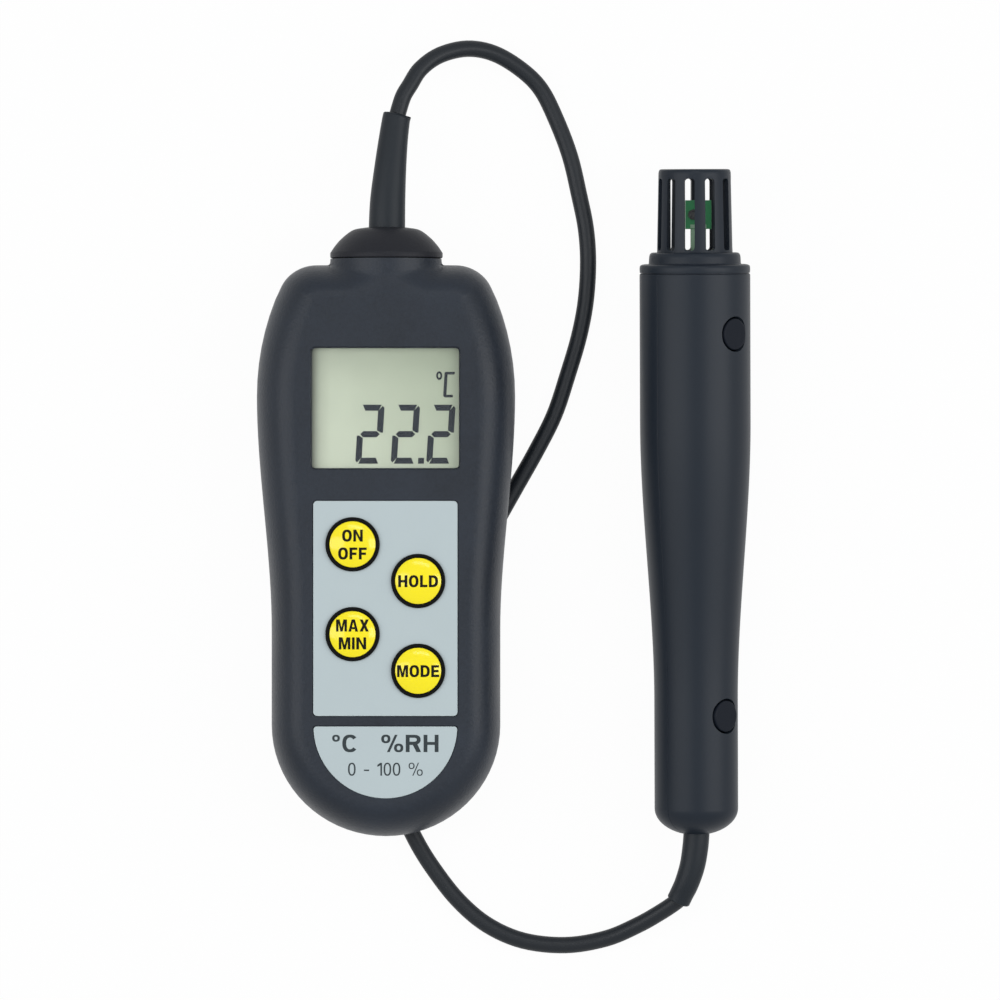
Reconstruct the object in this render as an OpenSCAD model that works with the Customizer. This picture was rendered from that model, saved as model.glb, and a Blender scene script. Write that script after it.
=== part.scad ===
// Thermo-hygrometer: a hand-held instrument with a wired humidity probe beside it.
// Millimetres. Z is up, Y runs along the instrument to its cord end.
// The origin is the centre of the flat foot on the back of the head.

/* [Case] */
// Width of the case across the head
head_w = 57.4; // [55:0.1:66]
// Width of the case across the grip
grip_w = 50.8; // [48:0.1:54]
// Length of the flat foot on the back of the head
foot_len = 36; // [32:0.5:40]
// Height of the grip's back above the surface
grip_lift = 4.4; // [4.1:0.1:6]
// Inward run of the rounded edge
edge_in = 7.1; // [6:0.1:7.6]
// Extra run of the rounded edge at the sides of the head
edge_side = 1.1; // [0:0.1:1.4]
// Radius of the two shoulders
shoulder_r = 8.65; // [8.65:0.05:11]
// Radius of the sides of the head
flank_r = 58; // [52:1:70]
// Distance from the top edge to the widest point of the head
wide_drop = 29.6; // [27:0.1:34]
// Length over which the head narrows to the grip
waist_run = 52; // [45:1:58]
// Length of the rounded tail
tail_run = 24.7; // [23:0.1:26]
// Wall of the case
wall = 2; // [1.7:0.1:2.3]
// Wall of the back and of the battery cover
back_wall = 1.6; // [1.4:0.1:2]
// Bare run from the top edge to the display window
head_margin = 18.9; // [17.5:0.1:22]

/* [Display] */
// Width of the display window
window_w = 33; // [28:0.1:35]
// Height of the display window
window_h = 27; // [24:0.1:29]
// Depth of the recess that holds the lens
lens_recess = 1.2; // [1:0.05:1.4]
// Thickness of the lens
lens_t = 0.95; // [0.7:0.05:1]
// Width of the ledge under the lens
lens_ledge = 0.8; // [0.5:0.1:1.5]
// Thickness of the liquid crystal cell
glass_t = 2; // [1.6:0.1:2.4]
// Height of the conductive strips under the cell
strip_h = 1.5; // [1.2:0.1:2]
// Height of a digit
digit_h = 13; // [9:0.1:15]
// Width of a digit's stroke
digit_t = 1.34; // [0.8:0.02:1.6]

/* [Keypad] */
// Diameter of a key
key_d = 10.4; // [9:0.1:11]
// Height of a key above the panel at its edge
key_edge = 1; // [0.6:0.1:1.6]
// Extra height of a key's domed middle
key_dome = 0.7; // [0.3:0.1:1.2]
// Travel of a key
key_travel = 0.4; // [0.2:0.05:0.5]
// Radial clearance round a key
key_gap = 0.15; // [0.1:0.05:0.25]
// Width of the rim of a key's ring
ring_w = 0.6; // [0.4:0.05:0.9]
// Height of a key's ring above the panel
ring_h = 0.6; // [0.3:0.05:0.9]
// Distance between the two columns of keys
key_cols = 14.5; // [13:0.1:16]
// Distance between two keys of a column
key_rows = 19.85; // [17:0.05:22]
// Drop from a left key to the right key beside it
key_drop = 8.1; // [6:0.1:9.5]
// Width of the keypad panel
panel_w = 31.9; // [30:0.1:33]
// Thickness of the keypad panel and the name plate
panel_t = 0.5; // [0.3:0.05:0.6]
// Bare run from the display window to the panel
panel_gap = 7; // [5:0.1:9]
// Bare run of the panel above the first key
panel_top_rim = 9.6; // [8:0.1:11]
// Bare run of the panel below the last key
panel_low_rim = 10; // [8:0.1:11]
// Bare run from the panel to the name plate
plate_gap = 2.25; // [1.5:0.05:4]
// Radius of the half-round name plate
plate_r = 15.7; // [12:0.1:16.5]

/* [Inside] */
// Diameter of a battery cell
cell_d = 10.5; // [10:0.1:11]
// Length of a battery cell with its nub
cell_len = 44.5; // [43:0.1:45.5]
// Length of a pressed battery spring
spring_len = 3.2; // [2.5:0.1:4]
// Thickness of the battery well's walls
well_wall = 0.9; // [0.7:0.1:1.1]
// Distance from the tail's end to the battery well
well_margin = 9.2; // [9:0.1:12]
// Thickness of the main board
board_t = 1.2; // [1:0.1:1.6]
// Diameter of the case screws
screw_d = 2.2; // [2:0.1:2.6]
// Width of the battery cover
cover_w = 28; // [27:0.1:30]

/* [Cord] */
// Diameter of the cord
cord_d = 3.7; // [3:0.1:4]
// Diameter of the instrument's boot where it leaves the collar
boot_d = 7.9; // [7:0.1:9]
// Diameter of the instrument's boot at its tip
boot_tip_d = 5.9; // [5:0.1:7]
// Diameter of the probe's boot where it leaves the handle
tail_boot_d = 5.8; // [5.2:0.1:6.6]
// Diameter of the probe's boot at its tip
tail_boot_tip_d = 5.2; // [4.8:0.1:6]

/* [Probe] */
// Length of the probe's handle
handle_len = 124.9; // [122:0.1:135]
// Radius of the handle at its head
head_r = 12.3; // [11.8:0.1:13]
// Radius of the handle at its tail
tail_r = 9.3; // [9:0.1:10]
// Length of the straight tail of the handle
tail_len = 30; // [28:1:34]
// Length over which the handle widens
taper_len = 62; // [50:1:66]
// Length of the handle's rounded end
tail_round = 6; // [4:0.1:7]
// Wall of the handle
handle_wall = 1.8; // [1.4:0.1:2]
// Outer radius of the collar that holds the guard
collar_r = 10.1; // [9.7:0.1:11]
// Length of the collar that holds the guard
collar_len = 2.6; // [2:0.1:4]
// Radius of the guard at its base
guard_r = 8.4; // [8:0.1:8.6]
// Radius of the guard at its top
guard_top_r = 8; // [7.9:0.1:8.3]
// Length of the guard above the collar
guard_len = 18.1; // [16:0.1:22]
// Number of ribs round the guard
rib_count = 11; // [8:1:12]
// Width of a slot of the guard
slot_w = 2.3; // [1.6:0.1:2.6]
// Depth of a rib
rib_depth = 1.2; // [0.9:0.1:1.4]
// Width of the sensor's board
sensor_w = 5.8; // [4:0.1:7]
// Length of the sensor's board
sensor_len = 6.4; // [5:0.1:8]
// Diameter of the screw plugs
plug_d = 7; // [6:0.1:7.4]

/* [Hidden] */

// Running fit of a sliding piece, and the looser fit of one that lies in a pocket
fit = 0.15;
loose = 0.3;
$fn = 48;

// Heights, stacked from the back of the grip to the front face
cover_in = grip_lift + back_wall;
cell_z = cover_in + loose + cell_d / 2;
ceiling_z = cell_z + cell_d / 2 + loose;
ceiling_t = 0.8;
board_z = ceiling_z + ceiling_t + 0.1;
board_top = board_z + board_t;
stack_gap = 0.3;
front_in = board_top + strip_h + glass_t + stack_gap;
case_t = front_in + wall;
split_z = case_t / 2;

// Stations along the case
top_y = foot_len / 2 + edge_in;
window_top = top_y - head_margin;
display_y = window_top - window_h / 2;
panel_top = window_top - window_h - panel_gap;
key_y = panel_top - panel_top_rim;
panel_low = key_y - key_rows - key_drop - panel_low_rim;
tail_c = panel_low - plate_gap;
tail_y = tail_c - tail_run;
key_at = [
  [-key_cols / 2, key_y], [key_cols / 2, key_y - key_drop],
  [-key_cols / 2, key_y - key_rows], [key_cols / 2, key_y - key_rows - key_drop]
];

// Outline of the case, right half from the top edge to the middle of the tail.
// Each entry is x, y and the outward normal.
wide_y = top_y - wide_drop;
waist_y = wide_y - waist_run;
flank_x = head_w / 2 - flank_r;
shoulder_y = top_y - shoulder_r;
flank_a = asin((shoulder_y - wide_y) / (flank_r - shoulder_r));
shoulder_x = flank_x + (flank_r - shoulder_r) * cos(flank_a);
step_run = 6;
foot_y = -foot_len / 2;
step_y = foot_y - step_run;
waist_ys = concat([(wide_y + foot_y) / 2, foot_y, step_y],
  [for (i = [1:4]) step_y + (waist_y - step_y) * i / 4]);

function smooth(t) = let (c = min(1, max(0, t))) c * c * (3 - 2 * c);
function unit(v) = v / norm(v);
function waist_pt(y) =
  let (t = (y - waist_y) / waist_run, d = (head_w - grip_w) / 2,
       g = d * 6 * t * (1 - t) / waist_run, n = unit([1, -g]))
  [grip_w / 2 + d * smooth(t), y, n[0], n[1]];
function tail_pt(a) =
  let (n = unit([cos(a) / grip_w * 2, sin(a) / tail_run]))
  [grip_w / 2 * cos(a), tail_c + tail_run * sin(a), n[0], n[1]];
half = concat(
  [for (i = [0:5]) let (a = 90 - (90 - flank_a) * i / 5)
    [shoulder_x + shoulder_r * cos(a), shoulder_y + shoulder_r * sin(a), cos(a), sin(a)]],
  [for (i = [1:4]) let (a = flank_a * (1 - i / 4))
    [flank_x + flank_r * cos(a), wide_y + flank_r * sin(a), cos(a), sin(a)]],
  [for (y = waist_ys) waist_pt(y)],
  [for (i = [0:9]) tail_pt(-10 * i)]
);
outline = concat(half, [for (i = [len(half) - 2:-1:0])
  [-half[i][0], half[i][1], -half[i][2], half[i][3]]]);

// Run of the rounded edge at a point of the outline, and the back's height there
function run_at(p) = edge_in + edge_side * p[2] * p[2] * smooth((p[1] - waist_y) / waist_run);
function back_at(p) = grip_lift * min(1, max(0, (foot_y - p[1]) / step_run));
// A point of the rounded edge: off is the inward offset, c and s place it on a quarter ellipse
function edge_pt(p, off, c, z) =
  let (d = run_at(p), k = d - (d - off) * c) [p[0] - p[2] * k, p[1] - p[3] * k, z];
edge_steps = [0, 14, 28, 43, 58, 74, 90];
function front_rings(off, z1) = [for (a = edge_steps)
  [for (p = outline) edge_pt(p, off, cos(a), split_z + (z1 - split_z) * sin(a))]];
function rear_rings(off, lift) = [for (i = [6:-1:0]) let (a = edge_steps[i])
  [for (p = outline) edge_pt(p, off, cos(a),
    split_z - (split_z - back_at(p) - lift) * sin(a))]];
function flat_ring(off, z) = [for (p = outline) edge_pt(p, off, 1, z)];

// Solid through rings of points, lowest first, with both ends closed in strips
module skin(rings) {
  n = len(rings[0]);
  m = (n + 1) / 2;
  top = (len(rings) - 1) * n;
  polyhedron(points = [for (r = rings) each r], faces = concat(
    [for (k = [0:len(rings) - 2]) for (i = [0:n - 1]) let (j = (i + 1) % n)
      each [[k * n + i, k * n + j, (k + 1) * n + j], [k * n + i, (k + 1) * n + j, (k + 1) * n + i]]],
    [for (i = [0:m - 3]) each [[top + i, top + i + 1, top + n - 2 - i],
      [top + i, top + n - 2 - i, top + n - 1 - i]]],
    [[top + m - 2, top + m - 1, top + m]],
    [for (i = [0:m - 3]) each [[n - 2 - i, i + 1, i], [n - 1 - i, n - 2 - i, i]]],
    [[m, m - 1, m - 2]]
  ));
}

// Tube or rod swept along points, with a radius at each point.
// ta and tb set the directions at its ends where they are given.
module sweep(pts, radii, sides, ta = undef, tb = undef) {
  last = len(pts) - 1;
  t = [for (i = [0:last])
    i == 0 ? unit(is_undef(ta) ? pts[1] - pts[0] : ta)
    : i == last ? unit(is_undef(tb) ? pts[last] - pts[last - 1] : tb)
    : unit(unit(pts[i + 1] - pts[i]) + unit(pts[i] - pts[i - 1]))];
  ring = [for (i = [0:last]) let (s = unit(cross(t[i], [0, 0, 1])), u = cross(s, t[i]))
    for (k = [0:sides - 1])
      pts[i] + radii[i] * (s * cos(360 * k / sides) + u * sin(360 * k / sides))];
  polyhedron(points = ring, faces = concat(
    [for (i = [0:last - 1]) for (k = [0:sides - 1]) let (j = (k + 1) % sides, a = i * sides)
      each [[a + k, a + j, a + sides + j], [a + k, a + sides + j, a + sides + k]]],
    [[for (k = [0:sides - 1]) last * sides + k]],
    [[for (k = [sides - 1:-1:0]) k]]
  ));
}

module box(x0, x1, y0, y1, z0, z1) {
  translate([x0, y0, z0]) cube([x1 - x0, y1 - y0, z1 - z0]);
}
module both() {
  children();
  mirror([1, 0, 0]) children();
}
module post(x, y, r, z0, z1) {
  translate([x, y, z0]) cylinder(r = r, h = z1 - z0);
}
// Solid of revolution about an axis along Y; the profile is radius, distance
module turned(profile) {
  rotate([-90, 0, 0]) rotate_extrude() polygon(profile);
}
module round_plate(w, h, r, t) {
  linear_extrude(t) union() {
    square([w - 2 * r, h], center = true);
    square([w, h - 2 * r], center = true);
    for (x = [-1, 1], y = [-1, 1]) translate([x * (w / 2 - r), y * (h / 2 - r)]) circle(r);
  }
}
module half_plate(r, t) {
  linear_extrude(t) difference() {
    circle(r);
    translate([-r - 1, 0]) square([2 * r + 2, r + 1]);
  }
}

// Neck of the case
neck_r = split_z - 0.1;
neck_y = top_y + 1.2;
seam_y = neck_y + 0.1;
neck_root = top_y - edge_in - 6;
neck_in = neck_r - wall;
// Battery well
well_hw = cell_d + 0.45;
well_low = tail_y + well_margin;
cell_low = well_low + 0.7 + spring_len;
cell_top = cell_low + cell_len;
well_top = cell_top + 0.8;
cell_x = cell_d / 2 + 0.2;
cover_y = well_top + well_wall + 0.6;
cover_hw = cover_w / 2;
// Side lips of the cover and the groove that they run in
lip_in = cover_hw - 1.1;
lip_out = cover_hw + 1.3;
lip_low = well_low + 5;
lip_top = cover_y - 3;
groove_top = cover_in + 1.35;
web_x = lip_out + 0.3;
// Screw posts: two in the head, two in the tail beside the groove
post_r = screw_d / 2 + 1.5;
bore_r = screw_d + fit;
bore_wall = 0.95;
post_x = web_x + post_r + 0.1;
screw_at = [
  [shoulder_x + post_r, window_top + 5.9], [-shoulder_x - post_r, window_top + 5.9],
  [post_x, tail_c - 3], [-post_x, tail_c - 3]
];
seat_z = cover_in + 1;
screw_len = 12;

module neck_half(r, y0, y1, up) {
  intersection() {
    translate([0, y0, split_z]) rotate([-90, 0, 0]) cylinder(r = r, h = y1 - y0);
    box(-30, 30, y0 - 1, y1 + 1, up ? split_z : -1, up ? case_t + 1 : split_z);
  }
}

ring_r = key_d / 2 + key_gap + ring_w;
sleeve_r = ring_r - 0.2;
pocket = panel_t + 0.1;
panel_z = case_t - pocket;
face_z = panel_z + panel_t;

module front_case() color([0.2, 0.21, 0.24]) difference() {
  union() {
    difference() {
      union() {
        skin(front_rings(0, case_t));
        neck_half(neck_r, neck_root, neck_y, true);
      }
      skin(concat([flat_ring(wall, split_z - 1)], front_rings(wall, front_in)));
      neck_half(neck_in, neck_root - 1, neck_y + 1, true);
      box(-neck_in, neck_in, neck_root - 1, neck_y + 1, split_z - 1, split_z + 0.01);
    }
    intersection() {
      skin(front_rings(wall / 2, case_t - wall / 2));
      for (p = screw_at) post(p[0], p[1], post_r, split_z, case_t);
    }
  }
  translate([0, display_y, case_t - lens_recess]) round_plate(window_w, window_h, 1, 3);
  box(lens_ledge - window_w / 2, window_w / 2 - lens_ledge, window_top - window_h + lens_ledge,
    window_top - lens_ledge, front_in - 1, case_t);
  translate([0, (panel_top + panel_low) / 2, panel_z])
    round_plate(panel_w + 2 * fit, panel_top - panel_low + 2 * fit, 1, 3);
  translate([0, tail_c, panel_z]) half_plate(plate_r + fit, 3);
  for (p = key_at) post(p[0], p[1], sleeve_r + 0.05, front_in - 1, case_t + 1);
  for (p = screw_at) post(p[0], p[1], screw_d / 2 - 0.2, split_z - 1, split_z + 8);
}

module rear_case() color([0.2, 0.21, 0.24]) difference() {
  union() {
    difference() {
      union() {
        skin(rear_rings(0, 0));
        neck_half(neck_r, neck_root, neck_y, false);
      }
      skin(concat(rear_rings(wall, back_wall), [flat_ring(wall, split_z + 1)]));
      neck_half(neck_in, neck_root - 1, neck_y + 1, false);
      box(-neck_in, neck_in, neck_root - 1, neck_y + 1, split_z - 0.01, split_z + 1);
      box(-cover_hw - fit, cover_hw + fit, tail_y - 1, cover_y + fit, -1, split_z + 1);
    }
    intersection() {
      skin(rear_rings(back_wall / 2, back_wall / 2));
      for (p = screw_at) post(p[0], p[1], bore_r + bore_wall, 0, split_z);
    }
    // well for the cells, open to the back
    box(-well_hw - well_wall, well_hw + well_wall, well_low - well_wall, well_top + well_wall,
      cover_in + fit, ceiling_z + ceiling_t);
    // groove for the cover's lips, and the wall that carries the well
    both() box(well_hw, web_x + 1.4, lip_low - 1, well_top, groove_top, groove_top + 1);
    both() box(web_x, web_x + 1.4, lip_low - 1, well_top, cover_in - 0.6, groove_top + 1);
    box(-web_x - 1.4, web_x + 1.4, well_top, cover_y + 1.6, groove_top, groove_top + 1);
    box(-web_x - 1.4, web_x + 1.4, cover_y + 0.6, cover_y + 1.6, cover_in - 0.6, groove_top + 1);
  }
  box(-well_hw, well_hw, well_low, well_top, cover_in - 1, ceiling_z);
  both() box(lip_in - fit, web_x, tail_y - 1, lip_top + fit, cover_in, groove_top);
  for (p = screw_at) {
    post(p[0], p[1], screw_d / 2 + 0.15, -1, split_z + 1);
    post(p[0], p[1], bore_r, -1, seat_z);
  }
}

module battery_cover() color([0.2, 0.21, 0.24]) {
  difference() {
    union() {
      difference() {
        intersection() {
          skin(rear_rings(0, 0));
          box(-cover_hw, cover_hw, tail_y - 1, cover_y, -1, split_z - fit);
        }
        skin(concat(rear_rings(wall, back_wall), [flat_ring(wall, split_z + 1)]));
      }
      both() box(lip_in, cover_hw, lip_low, lip_top, cover_in - 0.4, cover_in + 1.1);
      both() box(lip_in, lip_out, lip_low, lip_top, cover_in + 0.1, cover_in + 1.1);
    }
    box(-well_hw - well_wall - loose, well_hw + well_wall + loose, well_low - well_wall - loose,
      cover_y + 1, cover_in, split_z);
    // grooves for the thumb
    for (i = [0:3]) box(-6, 6, cover_y - 8 - 2 * i, cover_y - 7 - 2 * i, -1, grip_lift + 0.4);
  }
}

module display_lens() color([0.75, 0.8, 0.78, 0.5])
  translate([0, display_y, case_t - lens_recess])
    round_plate(window_w - fit, window_h - fit, 1, lens_t);

glass_z = board_top + strip_h;
module lcd_glass() color([0.72, 0.76, 0.66])
  box(-window_w / 2, window_w / 2, display_y - window_h / 2, display_y + window_h / 2,
    glass_z, glass_z + glass_t);

// Seven-bar digits. A bar is a pointed strip, slanted like the whole figure.
slant = tan(3.5);
digit_w = digit_h * 0.43;
digit_pitch = digit_h * 0.604;
digit_x = -6.6;
digit_y = window_top - window_h + 1.2;
function lean(pts) = [for (p = pts) [p[0] + p[1] * slant, p[1]]];
function bar(a, b) =
  let (u = unit(b - a), v = [-u[1], u[0]] * digit_t / 2, g = u * 0.12, e = u * digit_t / 2)
  lean([a + g, a + g + e + v, b - g - e + v, b - g, b - g - e - v, a + g + e - v]);
module digit(bars) {
  x0 = digit_t / 2;
  x1 = digit_w - digit_t / 2;
  ys = [digit_t / 2, digit_h / 2, digit_h - digit_t / 2];
  ends = [
    [[x0, ys[0]], [x1, ys[0]]], [[x0, ys[1]], [x1, ys[1]]], [[x0, ys[2]], [x1, ys[2]]],
    [[x0, ys[0]], [x0, ys[1]]], [[x1, ys[0]], [x1, ys[1]]],
    [[x0, ys[1]], [x0, ys[2]]], [[x1, ys[1]], [x1, ys[2]]]
  ];
  for (b = bars) polygon(bar(ends[b][0], ends[b][1]));
}
module lcd_segments() color([0.16, 0.19, 0.2])
  translate([0, 0, glass_z + glass_t]) linear_extrude(0.08) {
    for (i = [0:2]) translate([digit_x + i * digit_pitch, digit_y]) digit([0, 1, 2, 3, 6]);
    translate([digit_x + 2 * digit_pitch - 1.95, digit_y]) square(1.3);
    translate([digit_x + 2.27 * digit_pitch, window_top - 7.2]) difference() {
      square([1.15, 1.75]);
      translate([0.35, 0.4]) square([0.45, 0.95]);
    }
    translate([digit_x + 2.27 * digit_pitch + 1.5, window_top - 11]) difference() {
      square([2.5, 5.5]);
      translate([0.5, 0.5]) square([3, 4.5]);
    }
  }

holder_rim = 1.4;
module lcd_holder() color([0.85, 0.85, 0.82]) difference() {
  box(-window_w / 2 - holder_rim, window_w / 2 + holder_rim,
    display_y - window_h / 2 - holder_rim, display_y + window_h / 2 + holder_rim,
    board_top, glass_z + glass_t);
  box(-window_w / 2 - 0.1, window_w / 2 + 0.1, display_y - window_h / 2 - 0.1,
    display_y + window_h / 2 + 0.1, board_top - 1, front_in);
}

module contact_strips() color([0.25, 0.25, 0.28])
  for (s = [-1, 1]) translate([0, display_y + s * (window_h / 2 - 1.3), board_top + strip_h / 2])
    cube([window_w - 2, 2, strip_h], center = true);

board_low = panel_low + 4;
board_hw = window_w / 2 + holder_rim + 1.6;
// The board's tongue runs between the screw posts of the head
tongue_hw = screw_at[0][0] - post_r - 1.9;
peg_r = 0.8;
module main_board() color([0.1, 0.42, 0.24]) difference() {
  union() {
    box(-board_hw, board_hw, display_y - window_h / 2 - holder_rim - 1.5, window_top + 1.8,
      board_z, board_top);
    box(-tongue_hw, tongue_hw, window_top + 1, top_y - 10, board_z, board_top);
    box(-tongue_hw, tongue_hw, board_low, display_y, board_z, board_top);
  }
  for (x = [-1, 1]) post(x * (board_hw - 2 * peg_r), display_y, peg_r, board_z - 1, board_top + 1);
}

chip_w = 10;
chip_t = 1;
module controller_chip() color([0.08, 0.08, 0.09])
  box(-chip_w / 2, chip_w / 2, display_y - chip_w / 2, display_y + chip_w / 2,
    board_top, board_top + chip_t);

// Crystal in its can, two capacitors and a row of chip resistors, all under the head
can_r = 1.6;
can_len = 8;
can_x = 9;
cap_r = 2.2;
cap_h = 5;
cap_x = 8;
cap_pitch = 6;
chip_run = 1.6;
chip_pitch = 3;
chip_drop = 9;
module board_parts() color([0.7, 0.7, 0.72]) {
  translate([-can_x, display_y + can_len / 4, board_z - can_r]) rotate([-90, 0, 0])
    cylinder(r = can_r, h = can_len);
  for (x = [cap_x, cap_x + cap_pitch]) post(x, display_y + can_len / 2, cap_r, board_z - cap_h, board_z);
  for (i = [0:4]) box((i - 4 / 3) * chip_pitch, (i - 4 / 3) * chip_pitch + chip_run,
    display_y - chip_drop, display_y - chip_drop + chip_run / 2, board_z - 0.5, board_z);
}

header_y = window_top + 0.8;
header_w = 10;
header_run = 5;
module probe_header() color([0.9, 0.9, 0.86])
  box(-header_w / 2, header_w / 2, header_y - header_run, header_y, split_z - 2.2, board_z);

module keypad_panel() color([0.72, 0.77, 0.8]) difference() {
  translate([0, (panel_top + panel_low) / 2, panel_z])
    round_plate(panel_w, panel_top - panel_low, 0.9, panel_t);
  for (p = key_at) post(p[0], p[1], sleeve_r + 0.05, panel_z - 1, case_t + 1);
}

module key_rings() color([0.07, 0.07, 0.08]) for (p = key_at) difference() {
  union() {
    post(p[0], p[1], sleeve_r, front_in, face_z + 0.2);
    post(p[0], p[1], ring_r, face_z, face_z + ring_h);
  }
  post(p[0], p[1], ring_r - ring_w, front_in - 1, case_t + 3);
}

// A key: domed cap, flange under the front wall, stem over its snap dome
dome_t = 0.35;
key_top = face_z + ring_h + key_edge - 0.6;
flange_t = 0.8;
module key(p) color([0.93, 0.83, 0.1]) translate([p[0], p[1], 0]) rotate_extrude() polygon(concat(
  [[0, board_top + dome_t + key_travel + 0.1], [1.6, board_top + dome_t + key_travel + 0.1],
    [1.6, front_in - 0.1 - flange_t], [sleeve_r + 0.7, front_in - 0.1 - flange_t],
    [sleeve_r + 0.7, front_in - 0.1], [key_d / 2, front_in - 0.1], [key_d / 2, key_top - 0.25]],
  [for (i = [0:7]) [(key_d / 2 - 0.2) * cos(90 * i / 7), key_top + key_dome * sin(90 * i / 7)]]
));
module key_on_off() key(key_at[0]);
module key_hold() key(key_at[1]);
module key_max_min() key(key_at[2]);
module key_mode() key(key_at[3]);

dome_r = 4.2;
module snap_domes() color([0.8, 0.8, 0.82])
  for (p = key_at) post(p[0], p[1], dome_r, board_top, board_top + dome_t);

module name_plate() color([0.72, 0.77, 0.8])
  translate([0, tail_c - 0.05, panel_z]) half_plate(plate_r, panel_t);

module battery_cells() for (s = [-1, 1]) color([0.2, 0.35, 0.6])
  translate([s * cell_x, (cell_low + cell_top) / 2, cell_z]) rotate([s * 90, 0, 0]) {
    translate([0, 0, -cell_len / 2]) cylinder(d = cell_d, h = cell_len - 1);
    translate([0, 0, cell_len / 2 - 1.2]) cylinder(r = 1.9, h = 1.2);
  }

// Flat end of the second spring, under the cell's nub
pad_t = 0.4;
module battery_springs() color([0.75, 0.75, 0.72]) {
  translate([cell_x, cell_low - spring_len, cell_z]) turned([[0.6, 0], [3.6, 0], [3.6, 0.7],
    [2.9, 1.4], [2.9, 2], [2.2, spring_len - 0.3], [2.2, spring_len], [0.6, spring_len]]);
  translate([-cell_x, cell_top + pad_t, cell_z]) mirror([0, 1, 0])
    turned([[0.6, 0], [3, 0], [3, pad_t / 2], [2.2, pad_t], [0.6, pad_t]]);
}

module battery_contacts() color([0.8, 0.8, 0.76]) {
  box(-well_hw + 0.3, well_hw - 0.3, well_low + 0.2, well_low + 0.6, cell_z - 4, cell_z + 4);
  both() box(0.6, well_hw - 0.3, well_top - 0.35, well_top - 0.05, cell_z - 4, cell_z + 4);
}

module case_screws() color([0.6, 0.6, 0.62]) for (p = screw_at) difference() {
  union() {
    post(p[0], p[1], screw_d, seat_z - 1.6, seat_z);
    post(p[0], p[1], screw_d / 2 - 0.2, seat_z - 0.5, seat_z + screw_len);
  }
  for (a = [0, 90]) translate([p[0], p[1], seat_z - 1.7]) rotate([0, 0, a])
    cube([2.6, 0.6, 1.6], center = true);
}

// Collar on the neck: a turned cap whose plug fits the neck
module neck_collar() color([0.2, 0.21, 0.24]) translate([0, seam_y, split_z]) turned([
  [neck_r + 0.1, 0], [neck_r + 0.1, 1.2], [neck_r - 0.5, 1.9], [neck_r - 1.3, 2.8],
  [neck_r - 2.2, 3.8], [neck_r - 3.2, 4.8], [neck_r - 4.4, 5.7], [neck_r - 5.8, 6.3],
  [neck_r - 6.8, 6.4], [boot_d / 2 + fit, 6.4], [boot_d / 2 + fit, 4.4],
  [neck_r - 5.9, 4.4], [neck_r - 3.8, 2.4], [neck_r - 3.2, 0], [neck_in - 1.6, -5],
  [neck_in - 0.1, -5], [neck_in - 0.1, 0]
]);

// Route of the cord, round numbers along the photographed loop
cord_z = cord_d / 2 + 0.05;
cord_route = [
  [2.5, 58, 11.4], [3.5, 62, 11], [5, 64.5, 10.3], [7.5, 68.5, 9], [12, 71.5, 7.4],
  [18, 73, 5.6], [24, 72, 4], [30, 68.5, 2.8], [34.5, 64, 2.1], [38, 57, cord_z],
  [41, 49, cord_z], [43, 40.5, cord_z], [44.5, 33, cord_z], [45, 25.5, cord_z],
  [44.5, 17, cord_z], [43, 9, cord_z], [40.5, 0.5, cord_z], [37.5, -8.5, cord_z],
  [33.5, -16.5, cord_z], [29, -24.5, cord_z], [24.5, -32.5, cord_z], [19.5, -41.5, cord_z],
  [14, -51, cord_z], [9, -60.5, cord_z], [5, -70.5, cord_z], [3, -80, cord_z],
  [2.5, -89, cord_z], [3.5, -96.5, cord_z], [6.5, -103.5, cord_z], [10.5, -110, cord_z],
  [16, -117, cord_z], [22.5, -122.5, cord_z], [30.5, -126, cord_z], [40, -127, cord_z],
  [49, -125.5, 2.4], [56, -122.5, 3.6], [61, -119.5, 5.4], [65, -116.5, 7.2]
];
cord_end = len(cord_route) - 1;
cord_ta = [1, 4.4, -0.5];
cord_tb = [4, 3.2, 1.6];
module cord() color([0.09, 0.09, 0.1])
  sweep(cord_route, [for (p = cord_route) cord_d / 2], 8, cord_ta, cord_tb);

module instrument_boot() color([0.13, 0.13, 0.14]) sweep(
  [[0, seam_y + 2.8, split_z], [0, seam_y + 4, split_z], [0, seam_y + 4.05, split_z],
    [0, seam_y + 6.4, split_z], [0.1, 39, split_z - 0.1], [0.5, 46, split_z - 0.3],
    [1.4, 52.5, split_z - 0.7], [2.3, 57.1, 11.5], cord_route[0]],
  [5.6, 5.6, boot_d / 2, boot_d / 2, boot_d / 2 - 0.3, boot_d / 2 - 0.6,
    boot_tip_d / 2 + 0.1, boot_tip_d / 2, boot_tip_d / 2 - 0.3],
  16, [0, 1, 0], cord_ta);

lead_r = 1.6;
module instrument_lead() color([0.12, 0.12, 0.13])
  translate([0, header_y, split_z]) rotate([-90, 0, 0])
    cylinder(r = lead_r, h = seam_y + 2.8 - header_y);

clamp_back = 11;
clamp_t = 4;
module cable_clamp() color([0.5, 0.5, 0.52])
  translate([0, seam_y - clamp_back, split_z]) turned([[lead_r + 0.05, 0],
    [neck_in - fit, 0], [neck_in - fit, clamp_t], [lead_r + 0.05, clamp_t]]);

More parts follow.
